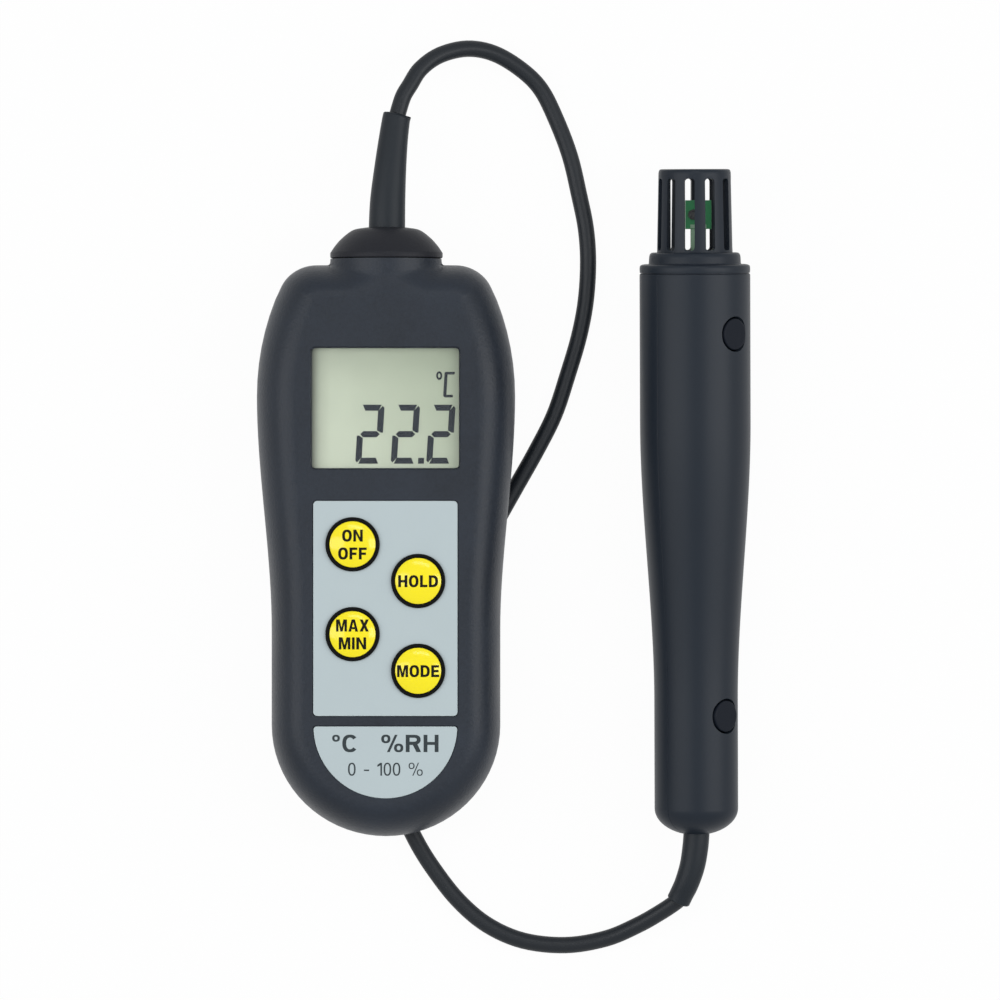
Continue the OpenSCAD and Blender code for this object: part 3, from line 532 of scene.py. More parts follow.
def coat(name, rgb, roughness, fineness=2500.0, depth=0.02, mottle=0.04, **sockets):
    """A moulded or painted finish: one colour with grain, mottling and uneven gloss."""
    tree, shader = fresh(name)
    grain = {"Fineness": fineness, "Mottle": mottle, "Roughness": roughness}
    kind = bpy.data.node_groups["Moulded grain"]
    out = add(tree, "ShaderNodeGroup", grain, node_tree=kind).outputs
    inputs = {key.replace("_", " "): value for key, value in sockets.items()}
    inputs["Base Color"] = times(tree, (*rgb, 1), out["Shade"])
    inputs["Roughness"] = out["Roughness"]
    if depth:
        bump = {"Strength": 1.0, "Distance": depth * MM, "Height": out["Height"]}
        inputs["Normal"] = add(tree, "ShaderNodeBump", bump).outputs["Normal"]
    fill(tree, shader, inputs)
    return tree


def clear_window(name):
    """Clear plastic that lets the lamps through to what lies behind it."""
    tree, shader = fresh(name)
    clear = {"Base Color": (0.97, 0.985, 0.97, 1), "Transmission Weight": 1.0}
    fill(tree, shader, {**clear, "Roughness": 0.03, "IOR": 1.2})
    path = add(tree, "ShaderNodeLightPath").outputs
    lamp_light = calc(tree, "MAXIMUM", path["Is Shadow Ray"], path["Is Diffuse Ray"])
    both = mixed(tree, lamp_light, shader, add(tree, "ShaderNodeBsdfTransparent"))
    fill(tree, tree.nodes["Material Output"], {"Surface": both.outputs[0]})


def repaint(tree, rgb, over=False):
    """Feeds a colour to a coat in place of its own or, with over, as a shade on it."""
    tint = next(n for n in tree.nodes if n.bl_idname == "ShaderNodeMix").inputs[6]
    if over:
        rgb = times(tree, tint.links[0].from_socket, rgb)
    tree.links.new(rgb, tint)


def ramp_along(tree, direction, start, stop, stops, blend="LINEAR", over=False):
    """Repaints a coat by a ramp along a direction in the frame, from start to stop in mm."""
    where = add(tree, "ShaderNodeTexCoord").outputs["Object"]
    along = add(tree, "ShaderNodeVectorMath", {0: where, 1: direction}, operation="DOT_PRODUCT")
    ends = {"Value": along.outputs["Value"], "From Min": start * MM, "From Max": stop * MM}
    share = add(tree, "ShaderNodeMapRange", ends).outputs["Result"]
    repaint(tree, steps_of(tree, share, stops, blend), over)


def board_finish(name, rgb):
    """Lacquered circuit board with paler tracks under the lacquer."""
    tree = coat(name, rgb, 0.3, fineness=1500, depth=0.004, mottle=0.05)
    where = add(tree, "ShaderNodeTexCoord").outputs["Object"]
    inputs = {"Vector": where, "Scale": 420.0}
    cells = add(tree, "ShaderNodeTexVoronoi", inputs, distance="CHEBYCHEV")
    track = (rgb[0] * 2 + 0.01, rgb[1] * 1.5, rgb[2] * 1.6)
    stops = [(0.40, rgb), (0.46, track)]
    repaint(tree, steps_of(tree, cells.outputs["Distance"], stops))


# The finishes of the packed pieces that are kept as they are
INNER_FINISHES = {
    "Clear window": ["display_lens"],
    "Display cell": ["lcd_glass"],
    "Natural plastic": ["lcd_holder", "probe_header", "cable_clamp", "sensor_carrier", "cable_grip"],
    "Strip rubber": ["contact_strips", "guard_seal"],
    "Circuit board": ["main_board", "probe_board"],
    "Chip package": ["controller_chip"],
    "Tinned steel": ["board_parts", "snap_domes"],
    "Nickel": ["battery_contacts", "handle_screws"],
    "Cord rubber": ["instrument_lead", "probe_lead"],
}


class THERMO_OT_finishes(bpy.types.Operator):
    """Make the finishes and give the packed inner pieces theirs"""

    bl_idname = "thermo.finishes"
    bl_label = "Finishes"

    def execute(self, context):
        tones = context.scene.thermo_colours
        grain_group()
        glossy = {"Specular_IOR_Level": 0.1, "Coat_Weight": 0.6, "Coat_Roughness": 0.12}
        coat("Housing plastic", tones.case, 0.42, 1500, 0.07, 0.3, Specular_IOR_Level=0.24)
        coat("Probe plastic", tones.probe, 0.42, 1900, 0.006, 0.05, Specular_IOR_Level=0.2)
        coat("Collar plastic", tones.collar, 0.44, 1500, 0.05, 0.2, Specular_IOR_Level=0.12)
        # Painted shade: a darker copy of the probe plastic for the recessed plugs
        coat("Plug plastic", tones.plug, 0.45, 1900, 0.006, 0.05, Specular_IOR_Level=0.1)
        coat("Boot rubber", tones.boot, 0.44, 2200, 0.012, 0.06, Specular_IOR_Level=0.19)
        coat("Cord rubber", tones.cord, 0.42, 1600, 0.012, 0.08, Specular_IOR_Level=0.24)
        coat("Panel film", tones.panel, 0.42, 3000, 0.006, 0.02, Specular_IOR_Level=0.4)
        coat("Key rubber", tones.key, 0.4, 1500, 0.003, 0.02, **glossy)
        coat("Ring plastic", tones.ring, 0.45, 2000, 0.003, 0.05, Specular_IOR_Level=0.06)
        coat("Printed ink", (0.006, 0.006, 0.005), 0.5, 3000, 0, 0.05, Specular_IOR_Level=0.08)
        coat("Plate ink", (0.022, 0.032, 0.036), 0.5, 3000, 0, 0.05, Specular_IOR_Level=0.25)
        coat("Display figures", tones.figures, 0.4, 3000, 0, 0.04, Specular_IOR_Level=0.2)
        clear_window("Clear window")
        coat("Natural plastic", (0.68, 0.68, 0.62), 0.5, 1800, 0.01, 0.03)
        coat("Strip rubber", (0.03, 0.03, 0.034), 0.6, 2600, 0.02, 0.08)
        coat("Chip package", (0.02, 0.02, 0.022), 0.45, 3200, 0.006, 0.06)
        coat("Tinned steel", (0.62, 0.62, 0.62), 0.32, 2200, 0.004, 0.05, Metallic=1.0)
        coat("Nickel", (0.60, 0.58, 0.54), 0.26, 1800, 0.003, 0.04, Metallic=1.0)
        coat("Sensor lead", (0.20, 0.33, 0.22), 0.5, 1800, 0.006, 0.05)
        coat("Dark element", (0.018, 0.020, 0.022), 0.4, 3000, 0.01, 0.1)
        board_finish("Circuit board", (0.018, 0.12, 0.05))
        coat("Sensor board", (0.004, 0.17, 0.05), 0.35, 1500, 0.006, 0.10)
        self.cell_face(tones)
        self.cell_wrap()
        for finish, names in INNER_FINISHES.items():
            for name in names:
                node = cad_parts[name]
                node.data.materials.clear()
                node.data.materials.append(bpy.data.materials[finish])
        return {"FINISHED"}

    def cell_face(self, tones):
        """The display's cell with painted light: darker towards its upper right, and a painted
        shadow of the window's frame at its left and top edges.
        """
        face = coat("Display cell", tones.display_light, 0.35, 3800, 0.0015, 0.06)
        # Painted light: a lit lower left fading through this colour to a shaded upper right
        middle = (0.47, 0.52, 0.405)
        stops = [(0.0, tones.display_light), (0.5, middle), (1.0, tones.display_dark)]
        ramp_along(face, (0.72, 0.58, 0), -22, 15, stops)
        painted_shadow_greys = lambda steps: [(place, (value,) * 3) for place, value in steps]
        # Painted shadow of the window's frame along the cell's left edge, as greys laid over the
        # colour
        side = [(0, 0.25), (0.11, 0.43), (0.22, 0.6), (0.34, 0.75), (0.5, 0.87), (1, 1)]
        ramp_along(face, (1, 0, 0), -16.25, -12.25, painted_shadow_greys(side), over=True)
        # Painted shadow of the window's frame along the cell's top edge
        head = [(0, 0.8), (0.2, 0.87), (0.4, 0.89), (0.6, 0.94), (1, 1)]
        ramp_along(face, (0, -1, 0), -6.2, 2.8, painted_shadow_greys(head), over=True)

    def cell_wrap(self):
        """The battery cells' printed wrap, in plain bands."""
        wrap = coat("Cell wrap", (0.05, 0.05, 0.06), 0.28, 1500, 0.003, 0.03, Coat_Weight=0.3)
        dark, blue, pale = (0.05, 0.055, 0.065), (0.05, 0.07, 0.14), (0.42, 0.40, 0.33)
        bands = [(0.0, dark), (0.22, pale), (0.25, blue), (0.75, pale), (0.78, dark)]
        ramp_along(wrap, (0, 1, 0), CELL_LOW.y, CELL_HIGH.y, bands, "CONSTANT")


# Case


def smooth(t):
    """Smooth step from 0 to 1."""
    t = min(1.0, max(0.0, t))
    return t * t * (3 - 2 * t)


def soft_max(a, b, blend):
    """The larger of two heights, with a fillet where they cross."""
    if blend <= 0:
        return max(a, b)
    h = max(blend - abs(a - b), 0) / blend
    return max(a, b) + h * h * blend / 4


# Degrees of the rounded edge at which its rings lie, outside and inside
EDGE_ANGLES = [0, 4, 9, 15, 21, 28, 35, 42, 50, 58, 66, 74, 82, 90]
INNER_ANGLES = [0, 20, 42, 66, 90]


def cos_sin(degrees):
    """Cosine and sine of an angle in degrees."""
    return math.cos(math.radians(degrees)), math.sin(math.radians(degrees))


class CaseForm:
    """The case's outline and rounded edge, shared by the two shells and the cover."""

    def __init__(self, sizes):
        for key in sizes.__annotations__:
            setattr(self, key, getattr(sizes, key) / MM)
        self.neck_radius = SPLIT_Z - 0.1
        self.flat_top = self.top_edge - self.edge_run
        self.wide = self.top_edge - self.wide_drop
        self.waist = self.wide - self.waist_run
        self.foot = -self.foot_length / 2
        self.step = self.foot - 6
        self.right = [(x, y, *n, "neck") for x, y, n in self.neck_side()]
        self.right += [(x, y, *n, "body") for x, y, n in self.body_side()]
        mirrored = [(-x, y, -nx, ny, kind) for x, y, nx, ny, kind in self.right[-2:0:-1]]
        self.stations = self.right + mirrored

    def neck_side(self):
        """Stations round the neck's mouth and its fillet, from the middle to the right."""
        r, fillet = self.neck_radius, self.neck_fillet
        out = [(r * cos_sin(84 * i / 8)[1], NECK_Y, (0, 1)) for i in range(9)]
        for c, s in [cos_sin(90 * i / 4) for i in range(5)]:
            out.append((r + fillet * (1 - c), self.top_edge + fillet * (1 - s), (0, 1)))
        return out

    def body_side(self):
        """Stations down the right side: shoulder, flank, waist, grip and tail."""
        r, rise, flank_r = self.shoulder_radius, self.shoulder_rise, self.flank_radius
        half = self.grip_width / 2
        flank_x = self.head_width / 2 - flank_r
        lean = math.asin((self.top_edge - rise - self.wide) / (flank_r - r))
        centre = flank_x + (flank_r - r) * math.cos(lean)
        out = []
        for i in range(13):
            turn = math.pi / 2 - (math.pi / 2 - lean) * i / 12
            c, s = math.cos(turn), math.sin(turn)
            normal = Vector((c / r, s / rise)).normalized()
            out.append((centre + r * c, self.top_edge - rise * (1 - s), normal))
        for i in range(1, 8):
            c, s = cos_sin(math.degrees(lean) * (1 - i / 7))
            out.append((flank_x + flank_r * c, self.wide + flank_r * s, (c, s)))
        gain = (self.head_width - self.grip_width) / 2
        for i in range(1, 19):
            y = self.wide + (self.waist - self.wide) * i / 18
            t = (y - self.waist) / self.waist_run
            normal = Vector((1, -gain * 6 * t * (1 - t) / self.waist_run)).normalized()
            out.append((half + gain * smooth(t), y, normal))
        tail = TAIL_Y + self.tail_run
        for i in range(1, 7):
            out.append((half, self.waist + (tail - self.waist) * i / 7, (1, 0)))
        for i in range(19):
            c, s = cos_sin(-90 * i / 18)
            normal = Vector((c / half, s / self.tail_run)).normalized()
            out.append((half * c if i < 18 else 0.0, tail + self.tail_run * s, normal))
        return out

    def back(self, y):
        """Height of the back above the table."""
        return self.grip_lift * smooth((self.foot - y) / (self.foot - self.step))

    def run(self, y, nx):
        """How far the rounded edge reaches inwards."""
        return self.edge_run + self.edge_side * nx * nx * smooth((y - self.waist) / self.waist_run)

    def outer(self, index, rear):
        """One ring of the outer surface. Ring 0 is the parting groove."""
        k = max(index - 1, 0)
        ring = []
        for x, y, nx, ny, kind in self.stations:
            if index == 0:
                ring.append((x - nx * self.parting, y - ny * self.parting, SPLIT_Z))
                continue
            full = SPLIT_Z - self.back(y) if rear else CASE_T - SPLIT_Z
            inset, height = self.run(y, nx) + 0.5, full
            if k < len(EDGE_ANGLES):
                c, s = cos_sin(EDGE_ANGLES[k])
                inset, height = (inset - 0.5) * (1 - c), full * s
            if kind == "neck":
                start = y
                y = self.top_edge - inset
                if k <= 3:
                    y = start + (self.top_edge - start) * k / 3
                    if start == NECK_Y and abs(x) < self.neck_radius - 0.01:
                        y = [start, start, (start + self.top_edge) / 2, self.top_edge][k]
                depth = min(1.0, max(0.0, (self.top_edge - y) / self.edge_run))
                height = full * math.sqrt(1 - (1 - depth) ** 2)
            else:
                x, y = x - nx * inset, y - ny * inset
            if y > self.flat_top - 0.6:
                near = smooth((self.neck_radius + 4 - abs(x)) / 4)
                blend = 3.0 * near * smooth((y - self.flat_top) / 3)
                neck = math.sqrt(max(0.0, self.neck_radius**2 - x * x))
                height = min(full, soft_max(height, neck, blend))
            if index == 1:
                height = 0.26
            ring.append((x, y, SPLIT_Z - height if rear else SPLIT_Z + height))
        return ring

    def inner(self, angle, rear):
        """One ring of the inner surface."""
        c, s = cos_sin(angle)
        ring = []
        for x, y, nx, ny, kind in self.stations:
            if kind == "neck":
                x, y = x * 0.97, self.top_edge
            run = self.run(y, nx)
            inset = run - (run - self.wall) * c
            full = self.back(y) + self.back_wall if rear else CASE_T - self.wall
            ring.append((x - nx * inset, y - ny * inset, SPLIT_Z + (full - SPLIT_Z) * s))
        return ring

    def shell(self, name, rear):
        """A closed shell of the front or the rear half."""
        rings = [self.inner(a, rear) for a in reversed(INNER_ANGLES)]
        rings += [self.outer(i, rear) for i in range(len(EDGE_ANGLES) + 2)]
        if not rear:
            return loft(name, rings)
        n, half = len(self.stations), len(self.right) - 1
        cuts = []
        for ring in (rings[0], rings[-1]):
            flat = max(i for i in range(half) if ring[i][1] > self.foot)
            cuts.append([(i, n - i) for i in range(flat, half)])
        return loft(name, rings, *cuts)


def arc(x, y, radius, start, stop, steps):
    """Points of a circle's arc, with both ends."""
    turns = [cos_sin(start + (stop - start) * k / steps) for k in range(steps + 1)]
    return [(x + radius * c, y + radius * s) for c, s in turns]


def round_rect(width, height, radius, grow=0.0, steps=5):
    """Outline of a rectangle with rounded corners, grown by grow."""
    out = []
    for sx, sy, start in ((1, 1, 0), (-1, 1, 90), (-1, -1, 180), (1, -1, 270)):
        x, y = sx * (width / 2 - radius), sy * (height / 2 - radius)
        out += arc(x, y, radius + grow, start, start + 90, steps)
    return out


def disc(radius, x, y, grow=0.0, steps=12):
    """Outline of a round hole or post."""
    return moved(round_rect(2 * radius, 2 * radius, radius, grow, steps), x, y)


def half_disc(radius, corner, grow=0.0, steps=40):
    """Outline of a half disc below the X axis, with rounded corners, grown by grow."""
    reach = math.sqrt((radius - corner) ** 2 - corner**2)
    lean = math.degrees(math.asin(corner / (radius - corner)))
    left = arc(-reach, -corner, corner + grow, 90, 180 + lean, 5)
    right = arc(reach, -corner, corner + grow, -lean, 90, 5)
    return left + arc(0, 0, radius + grow, 180 + lean, 360 - lean, steps)[1:-1] + right


def moved(loop, x, y):
    """An outline moved in its plane."""
    return [(px + x, py + y) for px, py in loop]


def pocket(name, outline, floor, rim):
    """A cutter for a pocket in the front face, with a chamfer round its mouth."""
    levels = [(0, floor), (0, CASE_T - rim), (rim, CASE_T), (rim, CASE_T + 1)]
    return loft(name, [at(outline(grow), z) for grow, z in levels])


def key_centres():
    """Centres of the four keys, from their packed solids."""
    out = []
    for name in ("key_on_off", "key_hold", "key_max_min", "key_mode"):
        low, high = cad(name)
        out.append(((low.x + high.x) / 2, (low.y + high.y) / 2))
    return out


class THERMO_OT_front(bpy.types.Operator):
    """Make the front shell of the case, with its pockets for the display, keypad and plate"""

    bl_idname = "thermo.front"
    bl_label = "Front shell"

    def execute(self, context):
        sizes, display = context.scene.thermo_case, context.scene.thermo_display
        shell = CaseForm(sizes).shell("front_shell", rear=False)
        width, height = display.window_width / MM, display.window_height / MM
        ledge = display.ledge / MM
        middle = (LENS_LOW.y + LENS_HIGH.y) / 2
        window = lambda grow: moved(round_rect(width, height, 1, grow), 0, middle)
        seat = CASE_T - display.recess / MM
        carve(shell, pocket("window_cut", window, seat, sizes.rim / MM))
        opening = moved(round_rect(width - 2 * ledge, height - 2 * ledge, 0.8), 0, middle)
        carve(shell, loft("opening_cut", [at(opening, 21), at(opening, 24)]))
        panel_size = PANEL_HIGH - PANEL_LOW + Vector((0.3, 0.3, 0))
        panel_y = (PANEL_HIGH.y + PANEL_LOW.y) / 2
        panel = lambda grow: moved(round_rect(panel_size.x, panel_size.y, 1, grow), 0, panel_y)
        carve(shell, pocket("panel_cut", panel, PANEL_LOW.z, 0.1))
        plate_r = context.scene.thermo_keypad.plate_radius / MM + 0.15
        plate = lambda grow: moved(half_disc(plate_r, 0.6, grow), 0, PLATE_HIGH.y + 0.15)
        carve(shell, pocket("plate_cut", plate, PLATE_LOW.z, 0.1))
        for x, y in key_centres():
            hole = disc(KEY_HOLE, x, y)
            carve(shell, loft("key_cut", [at(hole, 20), at(hole, 26)]))
        place_piece(shade(shell), "instrument", "Housing plastic", "case", "front_case")
        return {"FINISHED"}


# Radius of a case screw's head, in millimetres
SCREW_HEAD = 2.2


def screw_places():
    """Where the four case screws sit and their lowest height, from their packed solids."""
    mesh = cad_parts["case_screws"].data
    spots = [(abs(v.co.x) / MM, v.co.y / MM) for v in mesh.vertices]
    pairs = []
    for at_head in (True, False):
        xs, ys = zip(*[spot for spot in spots if (spot[1] > 0) == at_head])
        x, y = max(xs) - SCREW_HEAD, (min(ys) + max(ys)) / 2
        pairs += [(x, y), (-x, y)]
    return pairs, cad("case_screws")[0].z


class THERMO_OT_back(bpy.types.Operator):
    """Make the rear shell, the battery well, the battery cover and the case screws"""

    bl_idname = "thermo.back"
    bl_label = "Rear shell and battery cover"

    def execute(self, context):
        form = CaseForm(context.scene.thermo_case)
        shell = form.shell("rear_shell", rear=True)
        cover = shell.copy()
        cover.data = shell.data.copy()
        cover.name = cover.data.name = "battery_door"
        context.scene.collection.objects.link(cover)
        half, edge, gap = COVER_HIGH.x - 1.3, COVER_HIGH.y, 0.09
        low = (-half - gap, TAIL_Y - 2, -2)
        carve(shell, block("opening", low, (half + gap, edge + gap, SPLIT_Z + 1)))
        places, screw_low = screw_places()
        for x, y in places:
            level = form.back(y)
            post = disc(3.3, x, y, steps=8)
            carve(shell, loft("post", [at(post, level + 0.8), at(post, SPLIT_Z - 0.2)]), "UNION")
            if level > 1:
                level += 0.25
            wide, bore = disc(2.35, x, y, 0.3, 8), disc(2.35, x, y, steps=8)
            cut = [at(wide, -1), at(wide, level), at(bore, level + 0.3)]
            carve(shell, loft("bore", [*cut, at(bore, screw_low + 1.6)]))
        place_piece(shade(shell), "instrument", "Housing plastic", "case", "rear_case")
        self.well()
        self.door(cover, half, edge)
        self.screws(places, screw_low)
        return {"FINISHED"}

    def well(self):
        """The well that holds the cells, and the grooved walls beside it."""
        side, low, high, wall = 10.95, CELL_LOW.y - 3.9, CELL_HIGH.y + 0.8, 0.9
        floor, top = BACK_IN, 17.9
        corner = (side + wall, high + wall, top)
        well = block("battery_well", (-side - wall, low - wall, floor + 0.15), corner)
        carve(well, block("hollow", (-side, low, floor - 1), (side, high, top - 0.8)))
        added = {"rib": ((-0.35, low + 6, top - 3.2), (0.35, high - 6, top - 0.75))}
        head = floor + 2.35
        for name, s in (("left", -1), ("right", 1)):
            near, mouth, out = s * side, s * 15.6, s * 17.0
            start, stop = low + 4, high + 2.4
            web = ((min(mouth, out), start, floor - 0.6), (max(mouth, out), stop, head))
            added[name + "_web"] = web
            shelf = ((min(near, out), start, floor + 1.35), (max(near, out), stop, head))
            added[name + "_shelf"] = shelf
        added["bridge"] = ((-17, high, floor + 1.35), (17, high + 3.1, head))
        added["end"] = ((-17, high + 2.1, floor - 0.6), (17, high + 3.1, head))
        for name, corners in added.items():
            carve(well, block(name, *corners), "UNION")
        chamfer(well, 0.12)
        place_piece(shade(well), "instrument", "Housing plastic", "case")

    def door(self, cover, half, edge):
        """The sliding cover, with its grip grooves and the lips that hold it."""
        level, floor = COVER_LOW.z, BACK_IN
        keep = block("keep", (-half, TAIL_Y - 2, -2), (half, edge, SPLIT_Z - 0.15))
        carve(cover, keep, "INTERSECT")
        groove = arc(6, 0, 0.5, -90, 90, 8) + arc(-6, 0, 0.5, 90, 270, 8)
        flare = [(x * 1.02, y * 1.7) for x, y in groove]
        for i in range(4):
            y = edge - 7.5 - 2 * i
            mouth, bottom = moved(flare, 0, y), moved(groove, 0, y)
            levels = [at(mouth, level - 0.5), at(mouth, level), at(bottom, level + 0.4)]
            carve(cover, loft("groove", levels))
        arrow = [(-2.6, 0), (0, -2.8), (2.6, 0), (1.1, 0), (1.1, 2.6), (-1.1, 2.6), (-1.1, 0)]
        arrow = moved(arrow, 0, edge - 19.5)
        carve(cover, loft("arrow", [at(arrow, level - 1), at(arrow, level + 0.3)]))
        low, high = CELL_LOW.y - 3.9 + 5, edge - 3
        for s in (-1, 1):
            for name, reach, lift in (("stem", half, -0.4), ("lip", half + 1.3, 0.1)):
                left, right = sorted((s * (half - 1.1), s * reach))
                bar = block(name, (left, low, floor + lift), (right, high, floor + 1.1))
                carve(cover, bar, "UNION")
        place_piece(shade(cover), "cover", "Housing plastic", "case", "battery_cover")

    def screws(self, places, low):
        """The four case screws with cross recesses, seen from the back."""
        head = [(0, 0), (1.5, 0.02), (2.15, 0.35, 0.3), (SCREW_HEAD, 1.6, 0.1)]
        shank = [(0.9, 1.6), (0.9, 12.9), (0.5, 13.6), (0, 13.6)]
        screw = turned("case_screw_set", soften(head + shank), steps=40)
        for wide, deep in ((1.25, 0.28), (0.28, 1.25)):
            carve(screw, block("arm", (-wide, -0.4, -deep), (wide, 0.9, deep)))
        shade(screw)
        screw.data.transform(UPRIGHT)
        copies(screw, [shift(x, y, low) for x, y in places])
        place_piece(screw, "instrument", "Nickel", "nickel", "case_screws")


class THERMO_OT_collar(bpy.types.Operator):
    """Make the domed collar on the neck of the case"""

    bl_idname = "thermo.collar"
    bl_label = "Neck collar"

    def execute(self, context):
        radius = (COLLAR_HIGH.x - COLLAR_LOW.x) / 2
        base = COLLAR_HIGH.y - 6.7
        bore = context.scene.thermo_cord.boot_base / MM / 2 + 0.05
        curve = [(0, 1.15), (1.1, 2.78), (2.72, 4.55), (5.1, 6.28), (7.8, 6.82)]
        dome = [(radius - 0.3, 0), (radius - 0.1, 0.08), (radius, 0.3)]
        dome += [(radius - inset, height) for inset, height in spline(curve, 5)]
        dome += [(bore, 6.82, 0.15), (bore, 4.4), (radius - 4.4, 3.2), (radius - 4.4, -5)]
        dome += [(radius - 2.4, -5), (radius - 2.4, 0)]
        collar = turned("collar_cap", soften(dome), shift(0.1, base, SPLIT_Z), steps=128)
        shade(collar, 38)
        place_piece(collar, "instrument", "Collar plastic", "case", "neck_collar")
        return {"FINISHED"}


# Display


def bar_shapes(width, height, stroke, gap):
    """The bars of a figure, by their usual letters, as outlines on an upright cell."""
    w, h, t, g = width, height, stroke, gap
    m = h / 2
    flat = t - 0.03
    return {
        "a": [(0.9, h), (w - 0.67, h), (w - 1.22, h - flat), (1.56, h - flat)],
        "b": [
            (w - 0.38, h - g), (w, h - 0.72), (w, m + 0.36), (w - 0.5, m + 0.34),
            (w - t, m + 0.86), (w - t, h - 1.42),
        ],
        "d": [(0.68, 0), (w - 0.66, 0), (w - 1.24, flat), (1.25, flat)],
        "e": [
            (0, 0.72), (0.38, g), (t, 1.42), (t, m - 0.86), (0.5, m - 0.3), (0, m - 0.32),
        ],
        "g": [
            (0.72, m), (1.38, m + t / 2), (w - 1.38, m + t / 2), (w - 0.68, m),
            (w - 1.38, m - t / 2), (1.38, m - t / 2),
        ],
    }  # fmt: skip


class THERMO_OT_display(bpy.types.Operator):
    """Make the figures on the display's cell"""

    bl_idname = "thermo.display"
    bl_label = "Display figures"

    def execute(self, context):
        sizes = context.scene.thermo_display
        height, width = sizes.digit_height / MM, sizes.digit_width / MM
        pitch, stroke, gap = sizes.digit_pitch / MM, sizes.stroke / MM, sizes.gap / MM
        slant, top = math.tan(sizes.lean), GLASS_HIGH.z
        lean = lambda shape, left, low: [(left + x + y * slant, low + y) for x, y in shape]
        left, base = -6.7, GLASS_LOW.y + 1.22
        bars = bar_shapes(width, height, stroke, gap)
        shapes = [lean(bars[k], left + i * pitch, base) for i in range(3) for k in "abged"]
        dot = [(0, 0), (1.3, 0), (1.36, 1.3), (0.06, 1.3)]
        shapes.append(moved(dot, left + 2 * pitch - 1.81, base))
        w, h, t = 2.26, 5.66, 0.6
        unit = [
            (0.34, 0), (w - 0.2, 0), (w - 0.08, 0.12), (w - 0.2, t), (0.7, t), (0.7, h - t),
            (w - 0.08, h - t), (w + 0.06, h - 0.12), (w, h), (0.22, h), (0, h - 0.22), (0, 0.36),
        ]  # fmt: skip
        shapes.append(lean(unit, 12.74, -4.92))
        parts = [loft("bar", [at(s, top), at(s, top + 0.06)]) for s in shapes]
        ring, hole = (
            [(11.89 + rx * c, -0.1 + ry * s) for c, s in turn_round(32)]
            for rx, ry in ((0.68, 0.96), (0.26, 0.5))
        )
        degree = loft("degree", [at(ring, top), at(ring, top + 0.06)])
        parts.append(carve(degree, loft("hole", [at(hole, top - 1), at(hole, top + 1)])))
        figures = join(*parts)
        figures.name = figures.data.name = "display_figures"
        place_piece(figures, "instrument", "Display figures", "lcd_ink", "lcd_segments")
        return {"FINISHED"}


# Keypad


# Widths of the letters, as shares of their height
GLYPH_WIDTHS = {
    "O": 0.82, "N": 0.8, "F": 0.66, "H": 0.78, "L": 0.62, "D": 0.78, "M": 0.94, "A": 0.84,
    "X": 0.8, "I": 0.22, "E": 0.68, "C": 0.8, "R": 0.8, "%": 1.15, "0": 0.62, "1": 0.38,
    "-": 0.42, "°": 0.4, " ": 0.42,
}  # fmt: skip


def oval(cx, cy, rx, ry, start=0, stop=360, steps=28):
    """Points of a slightly squared oval, or of an arc of one."""
    out = []
    for k in range(steps if stop - start == 360 else steps + 1):
        a = math.radians(start + (stop - start) * k / steps)
        c, n = (math.copysign(abs(v) ** 0.84, v) for v in (math.cos(a), math.sin(a)))
        out.append((cx + rx * c, cy + ry * n))
    return out


